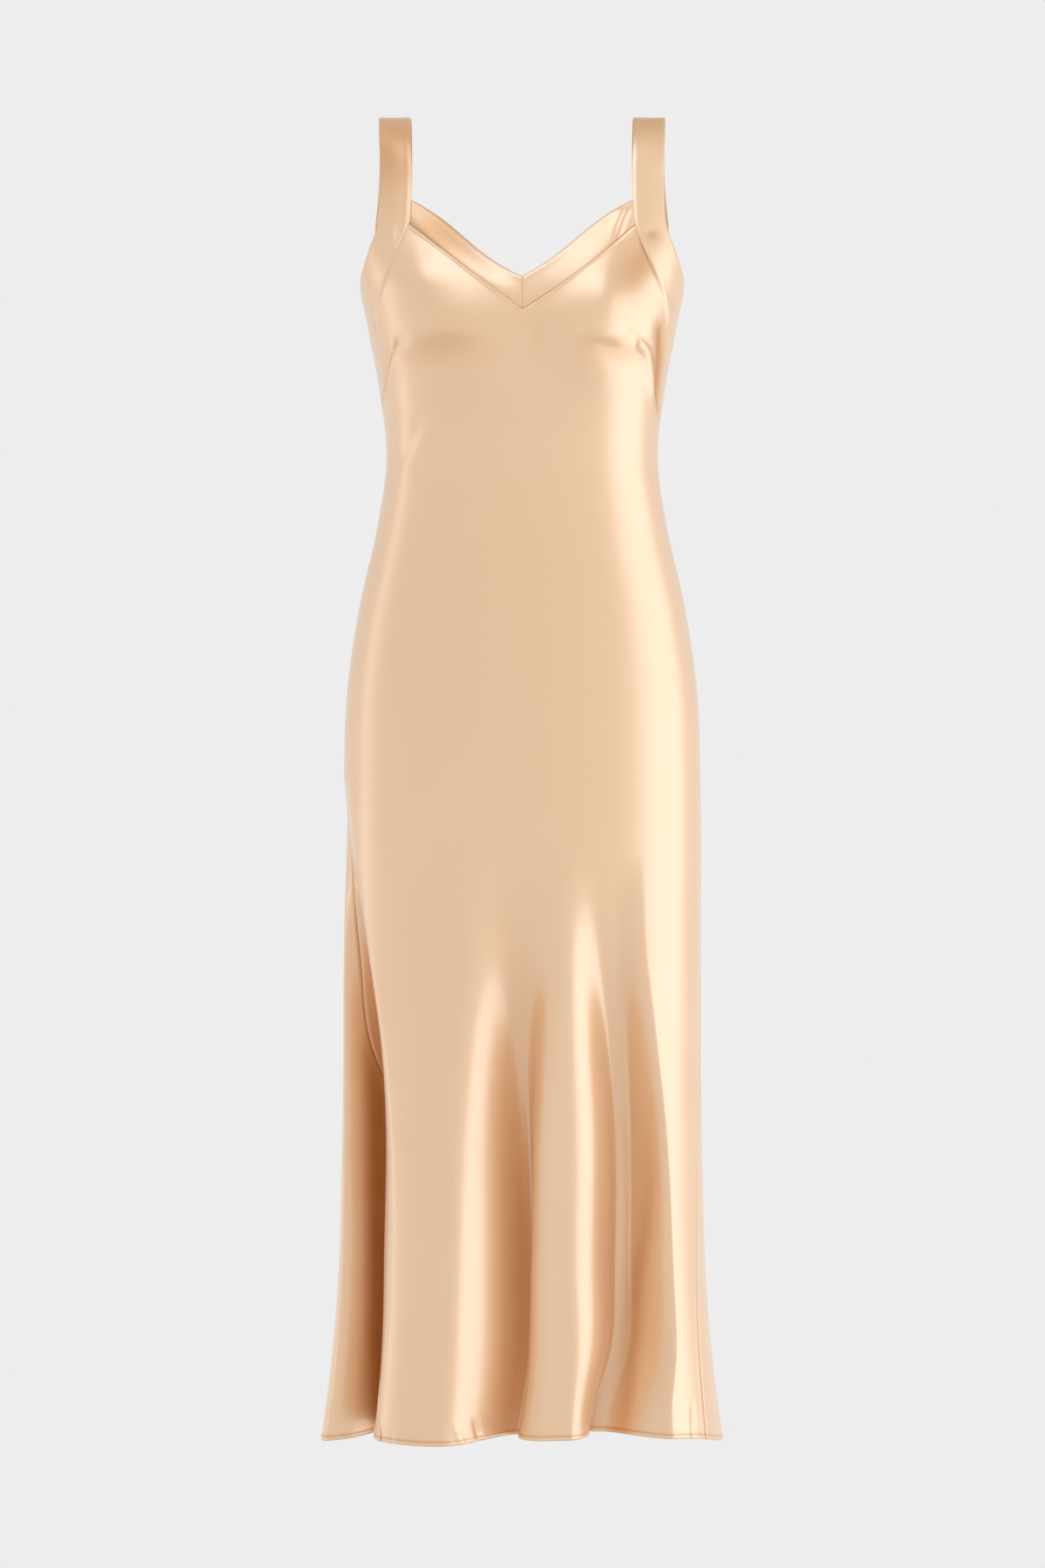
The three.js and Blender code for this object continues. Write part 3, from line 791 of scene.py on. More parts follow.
class Panel(ClothPiece):
    """The front or the back panel, from the hem up to its necklines and armholes."""

    ENDS = (0.0, 0.45, 1.0, 1.6, 2.3, 3.1, 3.7, 4.3, 5.0, 6.4, 9.0)
    SIDE_ENDS = (0.0, 0.7, 1.5, 2.6, 4.2, 6.6)
    MEAN_TOP = -160.0
    TURN_WEIGHT = 14.0
    MEAN_WIDTH = 500.0
    LEVEL_ZONE = 60.0
    PULL_FROM = -560.0
    ARM_SHARE = 0.2
    BUST_ZONE = 330.0
    HEM_ZONE = 120.0
    ZONE_BLEND = 80.0
    CUTS = {Face.FRONT: Cut(0.66, 1.14, 0.485), Face.BACK: Cut(0.74, 1.12, 0.555)}

    def __init__(
        self, face: Face, form: DressForm, seams: SeamLines, creases: Sequence[Crease | Swell]
    ) -> None:
        """Set the panel's grid and pressing.

        Args:
            face: Front or back.
            form: The worn surface.
            seams: The shared sewing lines.
            creases: Creases pressed into this panel.
        """
        super().__init__(f"{face.value}_panel", form, face.value, self.CUTS[face], creases)
        self.face = face
        self.seams = seams
        self.press = PanelSeams()
        self.columns = 196 if face is Face.FRONT else 168
        self.row_step = 4.9 if face is Face.FRONT else 6.2

    def side(self, left: bool, z: Array) -> Array:
        """Return the angle of the panel's own left or right border at each level."""
        if self.face is Face.FRONT:
            return self.form.left_seam(z) if left else self.form.right_seam(z)
        return self.form.right_seam(z) if left else 360.0 + self.form.left_seam(z)

    def top_border(self, share: Array) -> tuple[Array, Array]:
        """Follow the panel's top border from its left side seam to its right one.

        Args:
            share: Place of each column, 0 to 1.

        Returns:
            Angles and levels.
        """
        arm_share = self.ARM_SHARE
        neck_share = 0.5 - arm_share
        half = np.minimum(share, 1.0 - share)
        left = share < 0.5
        on_arm = half < arm_share
        arm_angle, arm_z = self.seams.arm(self.face, np.clip(half / arm_share, 0, 1))
        along = np.clip((half - arm_share) / neck_share, 0, 1)
        first, second = (Side.LEFT, Side.RIGHT) if self.face is Face.FRONT else (Side.RIGHT, Side.LEFT)
        left_angle, left_z = self.seams.neck(self.face, first, along)
        right_angle, right_z = self.seams.neck(self.face, second, along)
        angle = np.where(on_arm, arm_angle, np.where(left, left_angle, right_angle))
        z = np.where(on_arm, arm_z, np.where(left, left_z, right_z))
        angle = np.where(left, -angle, angle)
        return (angle if self.face is Face.FRONT else 180.0 + angle), z

    def column_shares(self, level: float, places: Array) -> Array:
        """Spread the columns over one level, closer together where the cloth turns.

        Args:
            level: Level to measure.
            places: Wanted places, 0 to 1 of the weighted length.

        Returns:
            Shares of the angle between the two side seams.
        """
        fine = 900
        share = np.linspace(0, 1, fine + 1)
        start, end = self.side(True, np.array(level)), self.side(False, np.array(level))
        run = self.form.cloth(lerp(start, end, share), np.full_like(share, level))
        step = np.diff(run, axis=0)
        heading = np.unwrap(np.arctan2(step[:, 1], step[:, 0]))
        turn = np.abs(np.diff(heading, prepend=heading[0]))
        total = np.concatenate([[0.0], np.cumsum(np.linalg.norm(step, axis=1) + self.TURN_WEIGHT * turn)])
        return np.interp(places * total[-1], total, share)

    def grid(self) -> tuple[Array, Array, Array]:
        """Give angles, levels and lifts of the panel's grid.

        Returns:
            Three arrays, columns first.
        """
        side_step = (self.MEAN_WIDTH - 2 * self.SIDE_ENDS[-1]) / (self.columns - 2 * len(self.SIDE_ENDS) + 1)
        places = graded(self.MEAN_WIDTH, side_step, self.SIDE_ENDS) / self.MEAN_WIDTH
        length = self.MEAN_TOP - self.form.hem
        rows = graded(length, self.row_step, self.ENDS)
        rows = self.crowd_bust(rows, length)
        top_angle, top_z = self.top_border(self.snapped(places))
        angle = np.empty((len(places), len(rows)))
        z = np.empty_like(angle)
        for j, run in enumerate(rows):
            g = run / length
            level = float(lerp(self.form.hem, self.MEAN_TOP, g))
            shares = self.column_shares(level, places)
            start, end = self.side(True, np.array(self.form.hem)), self.side(False, np.array(self.form.hem))
            bottom = self.form.hem_level(lerp(start, end, shares))
            own = top_z - bottom
            from_end = np.minimum(run, length - run)
            level_z = np.where(g < 0.5, bottom + from_end, top_z - from_end)
            z[:, j] = lerp(bottom + own * g, level_z, 1 - ease(from_end / self.LEVEL_ZONE))
            plain = lerp(self.side(True, z[:, j]), self.side(False, z[:, j]), shares)
            pull = ease((z[:, j] - self.PULL_FROM) / (top_z - self.PULL_FROM))
            angle[:, j] = lerp(plain, top_angle, pull)
        return angle, z, self.lift(angle, z, rows, length)

    def snapped(self, places: Array) -> Array:
        """Move the nearest columns onto the border's corners, so that no corner is cut off."""
        snapped = places.copy()
        for corner in (self.ARM_SHARE, 0.5, 1.0 - self.ARM_SHARE):
            snapped[np.abs(snapped - corner).argmin()] = corner
        return snapped

    def crowd_bust(self, rows: Array, length: float) -> Array:
        """Bring the rows closer together over the bust and the darts.

        Args:
            rows: Distances from the hem.
            length: Length of the panel.

        Returns:
            Distances from the hem, as many as before.
        """
        low, high = self.ENDS[-1], length - self.ENDS[-1]
        inner = (rows >= low) & (rows <= high)
        fine = np.linspace(low, high, 2000)
        bust = ease((fine - (length - self.BUST_ZONE)) / self.ZONE_BLEND)
        hem = ease((self.HEM_ZONE - fine) / self.ZONE_BLEND)
        weight = 1.0 + 1.1 * bust + 0.5 * hem
        total = np.concatenate([[0.0], np.cumsum(weight[1:])])
        wanted = np.linspace(0, total[-1], int(inner.sum()))
        moved = rows.copy()
        moved[inner] = np.interp(wanted, total, fine)
        return moved

    def lift(self, angle: Array, z: Array, rows: Array, length: float) -> Array:
        """Press the seams, the hem and the creases into the panel, and set the painted shade along its seams
        and hem.

        Args:
            angle: Angles of the grid.
            z: Levels of the grid.
            rows: Distance of each row from the hem.
            length: Length of the panel.

        Returns:
            The move of each point along its facing.
        """
        press = self.press
        points = self.form.cloth(angle, z)
        steps = np.linalg.norm(np.diff(points, axis=0), axis=-1)
        from_left = np.concatenate([np.zeros((1, len(rows))), np.cumsum(steps, axis=0)])
        from_side = np.minimum(from_left, from_left[-1] - from_left)
        from_top = np.broadcast_to(length - rows, angle.shape)
        from_hem = np.broadcast_to(rows, angle.shape)
        # Painted shade along the seams, the hem stitch line and the hem edge.
        at_seams = press.top_shade.lift(from_top) + press.side_shade.lift(from_side)
        at_hem = press.stitch_shade.lift(from_hem) + press.edge_shade.lift(from_hem)
        self.seam_shade = at_seams + at_hem
        lift = press.top_roll.lift(from_top) + press.top_groove.lift(from_top)
        lift = lift + press.side_roll.lift(from_side) + press.side_groove.lift(from_side)
        lift = lift + press.hem_rise * (1.0 - ease((from_hem - press.hem_height) / press.hem_step))
        return lift + press.hem_fold.lift(from_hem) + press.stitches.lift(from_hem)


class NeckBand(ClothPiece):
    """One mitred half of a neck band."""

    ALONG_ENDS = (0.0, 0.5, 1.1, 1.9, 3.2)
    ACROSS_ENDS = (0.0, 0.4, 0.9, 1.6, 2.6, 4.0)
    WIDTH = 28.0
    LENGTH = 134.0
    INSET_REACH = 5.0
    MITRE = (Press(-0.7, 0.0, 0.8), Press(0.25, 2.4, 1.6))
    STRAP_SEAM = Press(-0.6, 0.0, 1.0)
    EDGE = (Press(-0.55, 0.0, 1.0), Press(0.25, 3.0, 2.5))
    CUT = Cut(0.030, 0.15, 0.0036)

    def __init__(
        self,
        face: Face,
        side: Side,
        form: DressForm,
        seams: SeamLines,
        inset: float,
        creases: Sequence[Crease | Swell] = (),
        lean: float = 0.0,
    ) -> None:
        """Place the band.

        Args:
            face: Front or back.
            side: Left or right.
            form: The worn surface.
            seams: The shared sewing lines.
            inset: How far the band is sunk behind the panel at their seam.
            creases: Creases and swells pressed into this band.
            lean: How far its free edge leans in towards the body.
        """
        label = f"neck_band_{face.value}_{side.name.lower()}"
        super().__init__(f"{label}_cloth", form, label, self.CUT, creases)
        self.lean = lean
        self.face = face
        self.side = side
        self.seams = seams
        self.inset = inset
        self.thickness = 0.9

    def place(self, degrees: Array) -> Array:
        """Turn degrees from the centre into the angle round the body."""
        if self.face is Face.FRONT:
            return self.side.value * degrees
        return 180.0 - self.side.value * degrees

    def grid(self) -> tuple[Array, Array, Array]:
        """Give angles, levels and lifts of the band's grid.

        Returns:
            Three arrays, columns first.
        """
        along = graded(self.LENGTH, 2.6, self.ALONG_ENDS)
        across = graded(self.WIDTH, 1.8, self.ACROSS_ENDS)
        share, t = along / self.LENGTH, across / self.WIDTH
        seam_angle, seam_z = self.seams.neck(self.face, self.side, share)
        edge_angle, edge_z = self.seams.neck(self.face, self.side, share, edge=True)
        angle = lerp(seam_angle[:, None], edge_angle[:, None], t[None, :])
        z = lerp(seam_z[:, None], edge_z[:, None], t[None, :])
        lift = self.press(along, across)
        outward = (self.face is Face.FRONT) == (self.side is Side.LEFT)
        angle = self.place(angle)
        if not outward:
            angle, z, lift = angle[::-1], z[::-1], lift[::-1]
        return angle, z, lift

    def press(self, along: Array, across: Array) -> Array:
        """Press the band: sunk at its seam, soft at its fold, grooved at its mitre.

        Args:
            along: Distances from the armhole band.
            across: Distances from the seam.

        Returns:
            The move of each point along its facing.
        """
        from_edge = self.WIDTH - across[None, :]
        from_mitre = self.LENGTH - along[:, None]
        lift = -self.inset * np.exp(-across[None, :] / self.INSET_REACH)
        lift = lift + sum(press.lift(from_edge) for press in self.EDGE)
        lift = lift + sum(press.lift(from_mitre) for press in self.MITRE)
        middle = np.sin(np.pi * along[:, None] / self.LENGTH) ** 0.7
        lift = lift - self.lean * middle * (across[None, :] / self.WIDTH) ** 1.2
        return lift + self.STRAP_SEAM.lift(along[:, None])


class ArmholeBand(ClothPiece):
    """The shaped band that is strap and armhole in one, from side seam to side seam."""

    ACROSS_ENDS = (0.0, 0.4, 0.9, 1.6, 2.6, 4.0)
    WIDTH = 30.0
    SEAM = (Press(-0.7, 0.0, 1.0), Press(0.35, 2.6, 2.0))
    EDGE = (Press(-0.6, 0.0, 1.0), Press(0.25, 3.0, 2.5))
    CUT = Cut(0.033, 0.62, 0.0200)
    ARCH_STEPS = 22
    FINE = 14

    def __init__(
        self, side: Side, form: DressForm, seams: SeamLines, creases: Sequence[Crease | Swell]
    ) -> None:
        """Place the band.

        Args:
            side: Left or right.
            form: The worn surface.
            seams: The shared sewing lines.
            creases: Creases pressed into this band.
        """
        label = f"armhole_band_{side.name.lower()}"
        super().__init__(f"{label}_cloth", form, label, self.CUT, creases)
        self.side = side
        self.seams = seams
        self.thickness = 0.9

    def half_run(self, face: Face) -> Array:
        """Follow one face of the band from the side seam to the shoulder.

        Args:
            face: Front or back.

        Returns:
            Rows of seam angle, seam level, edge angle and edge level.
        """
        rows = self.seams.band(face)
        table = np.array([(r.seam, r.seam_z, r.edge, r.edge_z) for r in rows])
        knots = np.arange(len(rows), dtype=float)
        fine = np.linspace(0, len(rows) - 1, self.FINE * (len(rows) - 1) + 1)
        body = np.stack([SmoothColumn(knots, column)(fine) for column in table.T], -1)
        start = table[-1]
        climb = np.linspace(0, 1, 25)[1:]
        arch = -self.form.shoulder_arch * (1 - np.sin(np.linspace(0, np.pi / 2, self.ARCH_STEPS + 1)))
        levels = np.concatenate([lerp(start[1], arch[0], climb), arch[1:]])
        t = (levels - start[1]) / -start[1]
        level_edge = lerp(levels + (start[3] - start[1]), levels, np.clip(t * 3, 0, 1))
        level_edge[-1] = 0.0
        strap = np.stack([
            lerp(start[0], SHOULDER.seam, t), levels,
            lerp(start[2], SHOULDER.edge, t), np.minimum(level_edge, 0.0),
        ], -1)
        return np.concatenate([body, strap])

    def grid(self) -> tuple[Array, Array, Array]:
        """Give angles, levels and lifts of the band's grid.

        Returns:
            Three arrays, columns first.
        """
        across = graded(self.WIDTH, 1.9, self.ACROSS_ENDS)
        t = across[None, :] / self.WIDTH
        runs = []
        for face in Face:
            run = self.half_run(face)
            angle = lerp(run[:, 0:1], run[:, 2:3], t)
            z = lerp(run[:, 1:2], run[:, 3:4], t)
            sign = self.side.value
            angle = sign * angle if face is Face.FRONT else 180.0 - sign * angle
            runs.append((angle, z))
        angle = np.concatenate([runs[0][0], runs[1][0][::-1][1:]])
        z = np.concatenate([runs[0][1], runs[1][1][::-1][1:]])
        lift = self.press(angle, across)
        if self.side is Side.RIGHT:
            angle, z, lift = angle[::-1], z[::-1], lift[::-1]
        return angle, z, lift

    def press(self, angle: Array, across: Array) -> Array:
        """Press the band: a groove at its seam, soft folds at its edges.

        Args:
            angle: Angles of the grid.
            across: Distances from the seam edge.

        Returns:
            The move of each point along its facing.
        """
        from_edge = self.WIDTH - across[None, :]
        lift = sum(press.lift(across[None, :]) for press in self.SEAM)
        lift = lift + sum(press.lift(from_edge) for press in self.EDGE)
        return np.broadcast_to(lift, angle.shape).copy()


@dataclass(frozen=True)
class SatinFinish:
    """Champagne satin: a soft golden gloss with a fine bias weave and faint slubs, darkened and dulled by
    painted shade in its folds, creases and along its seams.
    """

    name: str = "champagne satin"
    colour: tuple[float, float, float] = (0.93, 0.595, 0.335)
    deep: tuple[float, float, float] = (0.91, 0.565, 0.305)
    # The colour that painted shade multiplies in, in folds, creases and along seams.
    painted_shade_colour: tuple[float, float, float] = (0.70, 0.50, 0.25)
    metallic: float = 0.3
    roughness: float = 0.38
    coat: float = 1.0
    coat_roughness: float = 0.27
    coat_ior: float = 2.3
    # The share of the coat's gloss that full painted shade takes away.
    painted_shade_dulling: float = 0.8
    sheen: float = 0.12
    sheen_roughness: float = 0.4
    sheen_tint: tuple[float, float, float] = (1.0, 0.86, 0.70)
    cloud: float = 9.0
    weave: float = 2600.0 / 6.0
    weave_share: float = 0.25
    slub: float = 160.0
    slub_stretch: float = 9.0
    relief_strength: float = 0.35
    relief_height: float = 0.00006

    def material(self) -> bpy.types.Material:
        """Make the satin's node material once, and give it again after that.

        Returns:
            The material.
        """
        known = bpy.data.materials.get(self.name)
        if known:
            return known
        made = bpy.data.materials.new(self.name)
        made.use_nodes = True
        nodes, links = made.node_tree.nodes, made.node_tree.links
        shader = nodes["Principled BSDF"]
        shader.inputs["Metallic"].default_value = self.metallic
        shader.inputs["Roughness"].default_value = self.roughness
        shader.inputs["Coat Roughness"].default_value = self.coat_roughness
        shader.inputs["Coat IOR"].default_value = self.coat_ior
        shader.inputs["Sheen Weight"].default_value = self.sheen
        shader.inputs["Sheen Roughness"].default_value = self.sheen_roughness
        shader.inputs["Sheen Tint"].default_value = (*self.sheen_tint, 1.0)
        flat = nodes.new("ShaderNodeUVMap")
        turned = nodes.new("ShaderNodeMapping")
        turned.inputs["Rotation"].default_value = (0.0, 0.0, math.radians(45))
        links.new(flat.outputs["UV"], turned.inputs["Vector"])
        cloudy = nodes.new("ShaderNodeTexNoise")
        cloudy.inputs["Scale"].default_value = self.cloud
        cloudy.inputs["Detail"].default_value = 3.0
        links.new(turned.outputs["Vector"], cloudy.inputs["Vector"])
        tone = nodes.new("ShaderNodeMix")
        tone.data_type = "RGBA"
        tone.inputs["A"].default_value = (*self.deep, 1.0)
        tone.inputs["B"].default_value = (*self.colour, 1.0)
        links.new(cloudy.outputs["Fac"], tone.inputs["Factor"])
        # Painted shade: the stored value pulls the colour towards the painted shade colour and lowers the
        # coat weight.
        depth = nodes.new("ShaderNodeAttribute")
        depth.attribute_name = "painted_shade_map"
        painted_shading = nodes.new("ShaderNodeMix")
        painted_shading.data_type = "RGBA"
        painted_shading.blend_type = "MULTIPLY"
        painted_shading.inputs["B"].default_value = (*self.painted_shade_colour, 1.0)
        links.new(depth.outputs["Fac"], painted_shading.inputs["Factor"])
        links.new(tone.outputs["Result"], painted_shading.inputs["A"])
        links.new(painted_shading.outputs["Result"], shader.inputs["Base Color"])
        gloss = nodes.new("ShaderNodeMath")
        gloss.operation = "MULTIPLY_ADD"
        gloss.inputs[1].default_value = -self.coat * self.painted_shade_dulling
        gloss.inputs[2].default_value = self.coat
        links.new(depth.outputs["Fac"], gloss.inputs[0])
        links.new(gloss.outputs["Value"], shader.inputs["Coat Weight"])
        self.relief(made, turned, shader)
        return made

    def relief(self, made: bpy.types.Material, turned: bpy.types.Node, shader: bpy.types.Node) -> None:
        """Add the weave and the slubs as a faint bump.

        Args:
            made: The material.
            turned: The mapping that lays the weave on the bias.
            shader: The satin's shader.
        """
        nodes, links = made.node_tree.nodes, made.node_tree.links
        stretched = nodes.new("ShaderNodeMapping")
        stretched.inputs["Scale"].default_value = (1.0, self.slub_stretch, 1.0)
        links.new(turned.outputs["Vector"], stretched.inputs["Vector"])
        slubs = nodes.new("ShaderNodeTexNoise")
        slubs.inputs["Scale"].default_value = self.slub
        slubs.inputs["Detail"].default_value = 2.0
        links.new(stretched.outputs["Vector"], slubs.inputs["Vector"])
        weave = nodes.new("ShaderNodeTexWave")
        weave.wave_type = "BANDS"
        weave.inputs["Scale"].default_value = self.weave
        weave.inputs["Distortion"].default_value = 0.6
        links.new(turned.outputs["Vector"], weave.inputs["Vector"])
        joined = nodes.new("ShaderNodeMath")
        joined.operation = "MULTIPLY_ADD"
        joined.inputs[1].default_value = self.weave_share
        links.new(weave.outputs["Fac"], joined.inputs[0])
        links.new(slubs.outputs["Fac"], joined.inputs[2])
        raised = nodes.new("ShaderNodeBump")
        raised.inputs["Strength"].default_value = self.relief_strength
        raised.inputs["Distance"].default_value = self.relief_height
        links.new(joined.outputs["Value"], raised.inputs["Height"])
        links.new(raised.outputs["Normal"], shader.inputs["Normal"])

    def dress(self, obj: bpy.types.Object) -> None:
        """Put the satin on an object."""
        obj.data.materials.clear()
        obj.data.materials.append(self.material())


@dataclass(frozen=True)
class SoftBox:
    """One rectangular studio light that looks at a point of the dress."""

    name: str
    place: tuple[float, float, float]
    aim: tuple[float, float, float]
    width: float
    height: float
    power: float
    colour: tuple[float, float, float] = (1.0, 1.0, 1.0)

    def build(self) -> bpy.types.Object:
        """Add the light and turn it to its aim.

        Returns:
            The light.
        """
        data = bpy.data.lights.new(self.name, "AREA")
        data.shape = "RECTANGLE"
        data.size, data.size_y = self.width, self.height
        data.energy = self.power
        data.color = self.colour
        lamp = bpy.data.objects.new(self.name, data)
        bpy.context.scene.collection.objects.link(lamp)
        lamp.location = self.place
        towards = Vector(self.aim) - Vector(self.place)
        lamp.rotation_euler = towards.to_track_quat("-Z", "Y").to_euler()
        return lamp


@dataclass
class Studio:
    """The camera, the lights, and the even pale floor and backdrop."""

    distance: float = 3.3
    level: float = -0.6261
    offset: float = 0.0004
    focal_px: float = 4026.8
    frame_px: float = 1800.0
    sensor: float = 36.0
    pale: float = 0.847
    ambient: float = 0.885
    glow: tuple[tuple[float, float], ...] = (
        (-1.0, 0.6), (-0.5, 0.9), (-0.1, 1.0), (0.15, 0.84), (0.6, 0.78), (1.0, 0.6),
    )
    room_tint: tuple[float, float, float] = (1.0, 0.985, 0.965)
    floor_level: float = -1.9
    floor_radius: float = 9.0
    dome_radius: float = 9.5
    lights: tuple[SoftBox, ...] = (
        SoftBox("side softbox", (2.43, -0.35, -0.45), (0.0, 0.0, -0.6), 2.1, 2.8, 21.0, (0.84, 0.93, 1.0)),
        SoftBox("top softbox", (-0.2, -1.5, 2.2), (0.0, 0.0, -0.3), 3.6, 1.2, 24.0, (0.84, 0.93, 1.0)),
        SoftBox("left fill", (-2.8, 0.4, -0.5), (0.0, 0.0, -0.7), 0.6, 2.4, 3.4),
    )

    def build(self) -> None:
        """Set up the whole studio."""
        self.camera()
        self.surroundings()
        self.room()
        for light in self.lights:
            light.build()
        scene = bpy.context.scene
        scene.view_settings.view_transform = "Standard"
        scene.view_settings.look = "None"

    def camera(self) -> None:
        """Stand the camera level in front of the dress, as in the photograph."""
        data = bpy.data.cameras.new("camera")
        data.sensor_width = self.sensor
        data.lens = self.focal_px / self.frame_px * self.sensor
        camera = bpy.data.objects.new("camera", data)
        bpy.context.scene.collection.objects.link(camera)
        camera.location = (self.offset, -self.distance, self.level)
        camera.rotation_euler = (math.radians(90), 0.0, 0.0)
        bpy.context.scene.camera = camera

    def surroundings(self) -> None:
        """Add the pale floor and the backdrop dome."""
        pale = bpy.data.materials.new("pale paper")
        pale.use_nodes = True
        nodes, links = pale.node_tree.nodes, pale.node_tree.links
        nodes.clear()
        glow = nodes.new("ShaderNodeEmission")
        glow.inputs["Color"].default_value = (self.pale, self.pale, self.pale, 1.0)
        output = nodes.new("ShaderNodeOutputMaterial")
        links.new(glow.outputs["Emission"], output.inputs["Surface"])
        bpy.ops.object.select_all(action="DESELECT")
        bpy.ops.mesh.primitive_circle_add(
            vertices=96, radius=self.floor_radius, fill_type="NGON", location=(0, 0, self.floor_level)
        )
        floor = bpy.context.active_object
        floor.name = "studio_floor"
        bpy.ops.mesh.primitive_uv_sphere_add(segments=64, ring_count=32, radius=self.dome_radius)
        dome = bpy.context.active_object
        dome.name = "studio_backdrop"
        for piece in (floor, dome):
            piece.data.materials.append(pale)
            piece.visible_diffuse = False
            piece.visible_glossy = False
            piece.visible_shadow = False
            piece.visible_transmission = False

    def room(self) -> None:
        """Light the dress from all round, by a glow that changes with height."""
        world = bpy.data.worlds.new("soft room")
        world.use_nodes = True
        nodes, links = world.node_tree.nodes, world.node_tree.links
        nodes["Background"].inputs["Strength"].default_value = self.ambient
        place = nodes.new("ShaderNodeTexCoord")
        height = nodes.new("ShaderNodeSeparateXYZ")
        links.new(place.outputs["Generated"], height.inputs["Vector"])
        raised = nodes.new("ShaderNodeMapRange")
        raised.inputs["From Min"].default_value = -1.0
        raised.inputs["From Max"].default_value = 1.0
        links.new(height.outputs["Z"], raised.inputs["Value"])
        ramp = nodes.new("ShaderNodeValToRGB")
        while len(ramp.color_ramp.elements) < len(self.glow):
            ramp.color_ramp.elements.new(0.5)
        for stop, (at, tone) in zip(ramp.color_ramp.elements, self.glow):
            stop.position = 0.5 + 0.5 * at
            stop.color = (*(tone * part for part in self.room_tint), 1.0)
        links.new(raised.outputs["Result"], ramp.inputs["Fac"])
        links.new(ramp.outputs["Color"], nodes["Background"].inputs["Color"])
        bpy.context.scene.world = world


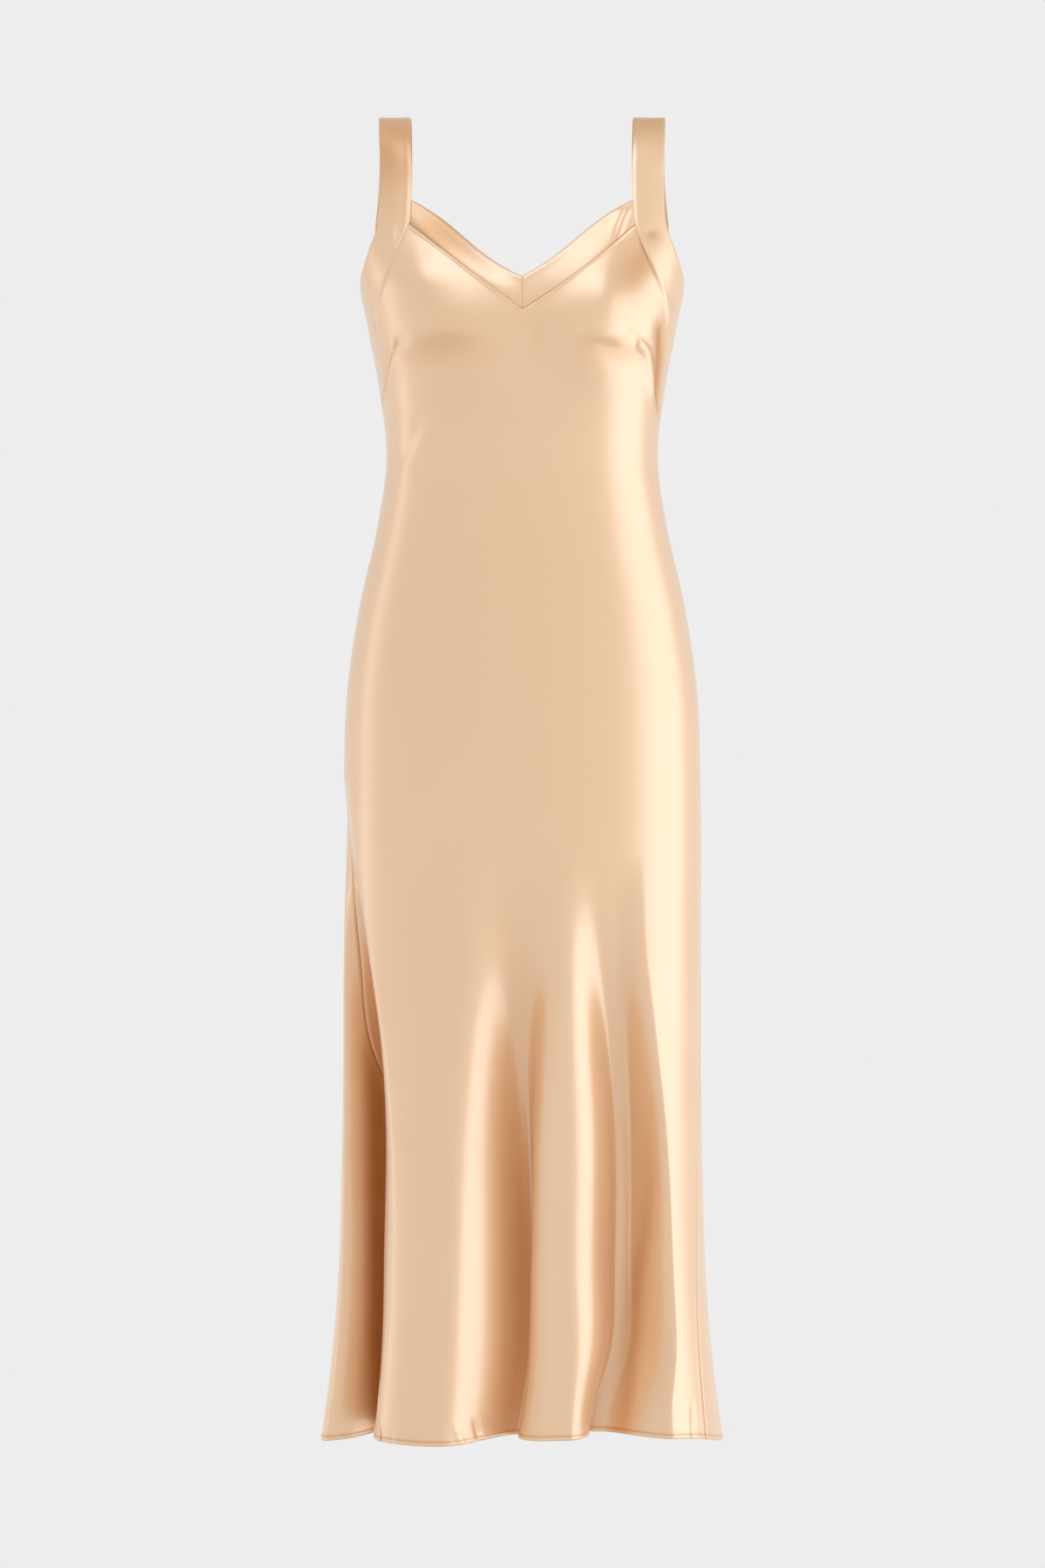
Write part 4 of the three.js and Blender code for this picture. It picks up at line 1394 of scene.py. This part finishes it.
class SlipDress:
    """The whole dress, built piece by piece."""

    # A shade in these tables is painted shade, laid along a crease or round a swell; swells with no height
    # are painted shade alone.
    FRONT_CREASES: tuple[Crease | Swell, ...] = (
        Crease("left dart", (
            (-49.5, -214), (-55.5, -226), (-60, -234), (-65, -246), (-72.5, -260), (-84, -271),
        ), 1.5, -1.3, start=0.12, shade=0.35),
        Crease("left dart roll", (
            (-53, -219), (-58, -230), (-62.5, -242), (-69, -257), (-80, -271),
        ), 3.4, 0.6, start=0.2),
        Swell("left dart tip", -113, -219, 7, 6, -1.6, 20),
        Crease("right dart", (
            (43, -216), (50.5, -220), (56.5, -227), (60.5, -236), (66, -253), (71, -267), (80, -284),
        ), 1.6, -1.5, start=0.1, shade=0.5),
        Crease("right dart ridge", (
            (44, -221), (49, -225), (53.5, -232), (57, -243), (61, -256), (65.5, -270), (72, -288),
        ), 5.5, 2.4, start=0.1, end=0.3),
        Swell("right dart tip", 103, -214, 8, 6, -2.2, -25),
        Crease("right of the dart", (
            (57, -192), (62.8, -218), (67.2, -243), (70.5, -266), (81, -300),
        ), 10.0, -2.6, start=0.2, end=0.4, shade=1.0),
        Swell("left cup", -94, -166, 30, 26, 4.2, -24),
        Swell("under left cup", -76, -229, 42, 16, -4.2, 0, 0.3),
        Swell("right cup", 80, -176, 26, 26, 3.6, 24),
        Swell("under right cup", 82, -231, 26, 11, -4.2, 8, 0.4),
        Swell("centre dent", 13, -221, 7, 22, -0.9, 0, 0.1),
        Swell("beside the right band", 106, -148, 16, 34, -2.8, 26, 0.62),
        Crease("left waist drag", (
            (-31, -284), (-38, -300), (-45.5, -315), (-54, -331), (-62, -345),
        ), 8.0, 1.1, start=0.35, end=0.35),
        Crease("left waist drag shadow", (
            (-37, -282), (-45, -299), (-52, -315), (-60, -330),
        ), 9.0, -0.9, start=0.35, end=0.35),
        Crease("band end pucker", ((36.5, -117), (33, -124), (29.5, -133)), 1.8, -0.7, end=0.6),
        Crease("right valley", (
            (44, -880), (46.5, -950), (46.5, -1035), (40, -1138), (36.5, -1193), (34.5, -1222),
        ), 12.0, -0.8, start=0.5, shade=0.55),
        Crease("hem tip pucker", ((-16, -1196), (-15, -1208), (-14.2, -1222)), 3.0, -1.8, start=0.7),
        Crease("hem tip roll", ((-19, -1200), (-18, -1210), (-17, -1223)), 3.6, 1.2, start=0.7),
        Crease("left ridge roll", (
            (-48, -1235), (-47, -1190), (-52, -1120), (-58, -1060),
        ), 4.0, 0.8, end=0.5),
        Crease("hem notch", ((-36, -1208), (-36.5, -1230)), 1.3, -1.0, start=0.6),
        Crease("right side pucker", ((59, -1188), (57.5, -1206), (55.5, -1231)), 2.2, -2.2, start=0.7),
        Crease("right side pucker roll", (
            (56.5, -1196), (55.5, -1212), (53.5, -1231),
        ), 3.2, 1.1, start=0.7),
    )
    LEFT_BAND: tuple[Crease | Swell, ...] = (Swell("left band shade", -80, -122, 52, 40, 0.0, -40, 0.75),)
    RIGHT_BAND: tuple[Crease | Swell, ...] = (
        Crease("band fold", (
            (35.5, -94), (32, -108), (29.5, -124), (26.8, -136),
        ), 2.6, -1.6, start=0.2, end=0.5, shade=0.4),
        Crease("band fold roll", ((33, -94), (29.5, -108), (27, -124)), 4.0, 1.5, start=0.3, end=0.5),
    )
    LEFT_STRAP: tuple[Crease | Swell, ...] = (
        Swell("strap top shade", -118, -34, 60, 48, 0.0, 0, 0.7),
        Crease("strap slant", ((-48, -104), (-46, -126), (-44.5, -146)), 5.0, 0.9, start=0.4, end=0.4),
    )
    RIGHT_STRAP: tuple[Crease | Swell, ...] = (
        Swell("strap top shade", 118, 0, 60, 28, 0.0, 0, 0.6),
        Crease("strap slant", (
            (51.5, -111), (48, -116), (44.5, -121), (38.5, -128),
        ), 6.5, -1.1, start=0.5, end=0.5, shade=0.5),
        Crease("underarm ease", (
            (62, -170), (66, -178), (71, -185), (77, -190),
        ), 6.0, -0.8, start=0.5, end=0.5, shade=0.15),
    )
    BACK_CREASES: tuple[Crease | Swell, ...] = (
        Crease("left recess", (
            (-80.5, -790), (-76, -870), (-73, -945), (-71.5, -1060), (-70.5, -1145), (-69.5, -1235),
        ), 13.0, -1.0, start=0.4, shade=1.0),
        Crease("small of the back left", (
            (215, -330), (205, -352), (196, -362),
        ), 11.0, -1.2, start=0.4, end=0.5),
        Crease("small of the back right", (
            (140, -322), (152, -345), (165, -358),
        ), 12.0, -1.4, start=0.4, end=0.5),
        Crease("right drag", ((128, -300), (139, -318), (150, -329)), 8.0, 1.0, start=0.4, end=0.5),
        Crease("left drag", ((233, -306), (222, -326), (212, -338)), 8.0, 0.9, start=0.4, end=0.5),
        Crease("hip ease", ((205, -560), (215, -610), (221, -690)), 16.0, -1.3, start=0.5, end=0.4),
        Crease("side pucker", ((244, -1186), (243, -1206), (241, -1233)), 2.4, -1.6, start=0.7),
    )

    def __init__(self) -> None:
        """Make the form and the sewing lines."""
        self.form = DressForm()
        self.seams = SeamLines(self.form)
        self.finish = SatinFinish()

    def build(self) -> None:
        """Build every piece of the dress in order."""
        pieces: list[ClothPiece] = [
            Panel(Face.FRONT, self.form, self.seams, self.FRONT_CREASES),
            Panel(Face.BACK, self.form, self.seams, self.BACK_CREASES),
            NeckBand(Face.FRONT, Side.LEFT, self.form, self.seams, 1.4, self.LEFT_BAND, 5.0),
            NeckBand(Face.FRONT, Side.RIGHT, self.form, self.seams, 0.6, self.RIGHT_BAND),
            NeckBand(Face.BACK, Side.LEFT, self.form, self.seams, 0.6),
            NeckBand(Face.BACK, Side.RIGHT, self.form, self.seams, 0.6),
            ArmholeBand(Side.LEFT, self.form, self.seams, self.LEFT_STRAP),
            ArmholeBand(Side.RIGHT, self.form, self.seams, self.RIGHT_STRAP),
        ]
        for piece in pieces:
            piece.build(self.finish)


def main() -> None:
    logging.basicConfig(level=logging.INFO, format="%(name)s: %(message)s")
    SlipDress().build()
    Studio().build()


if __name__ == "__main__":
    main()
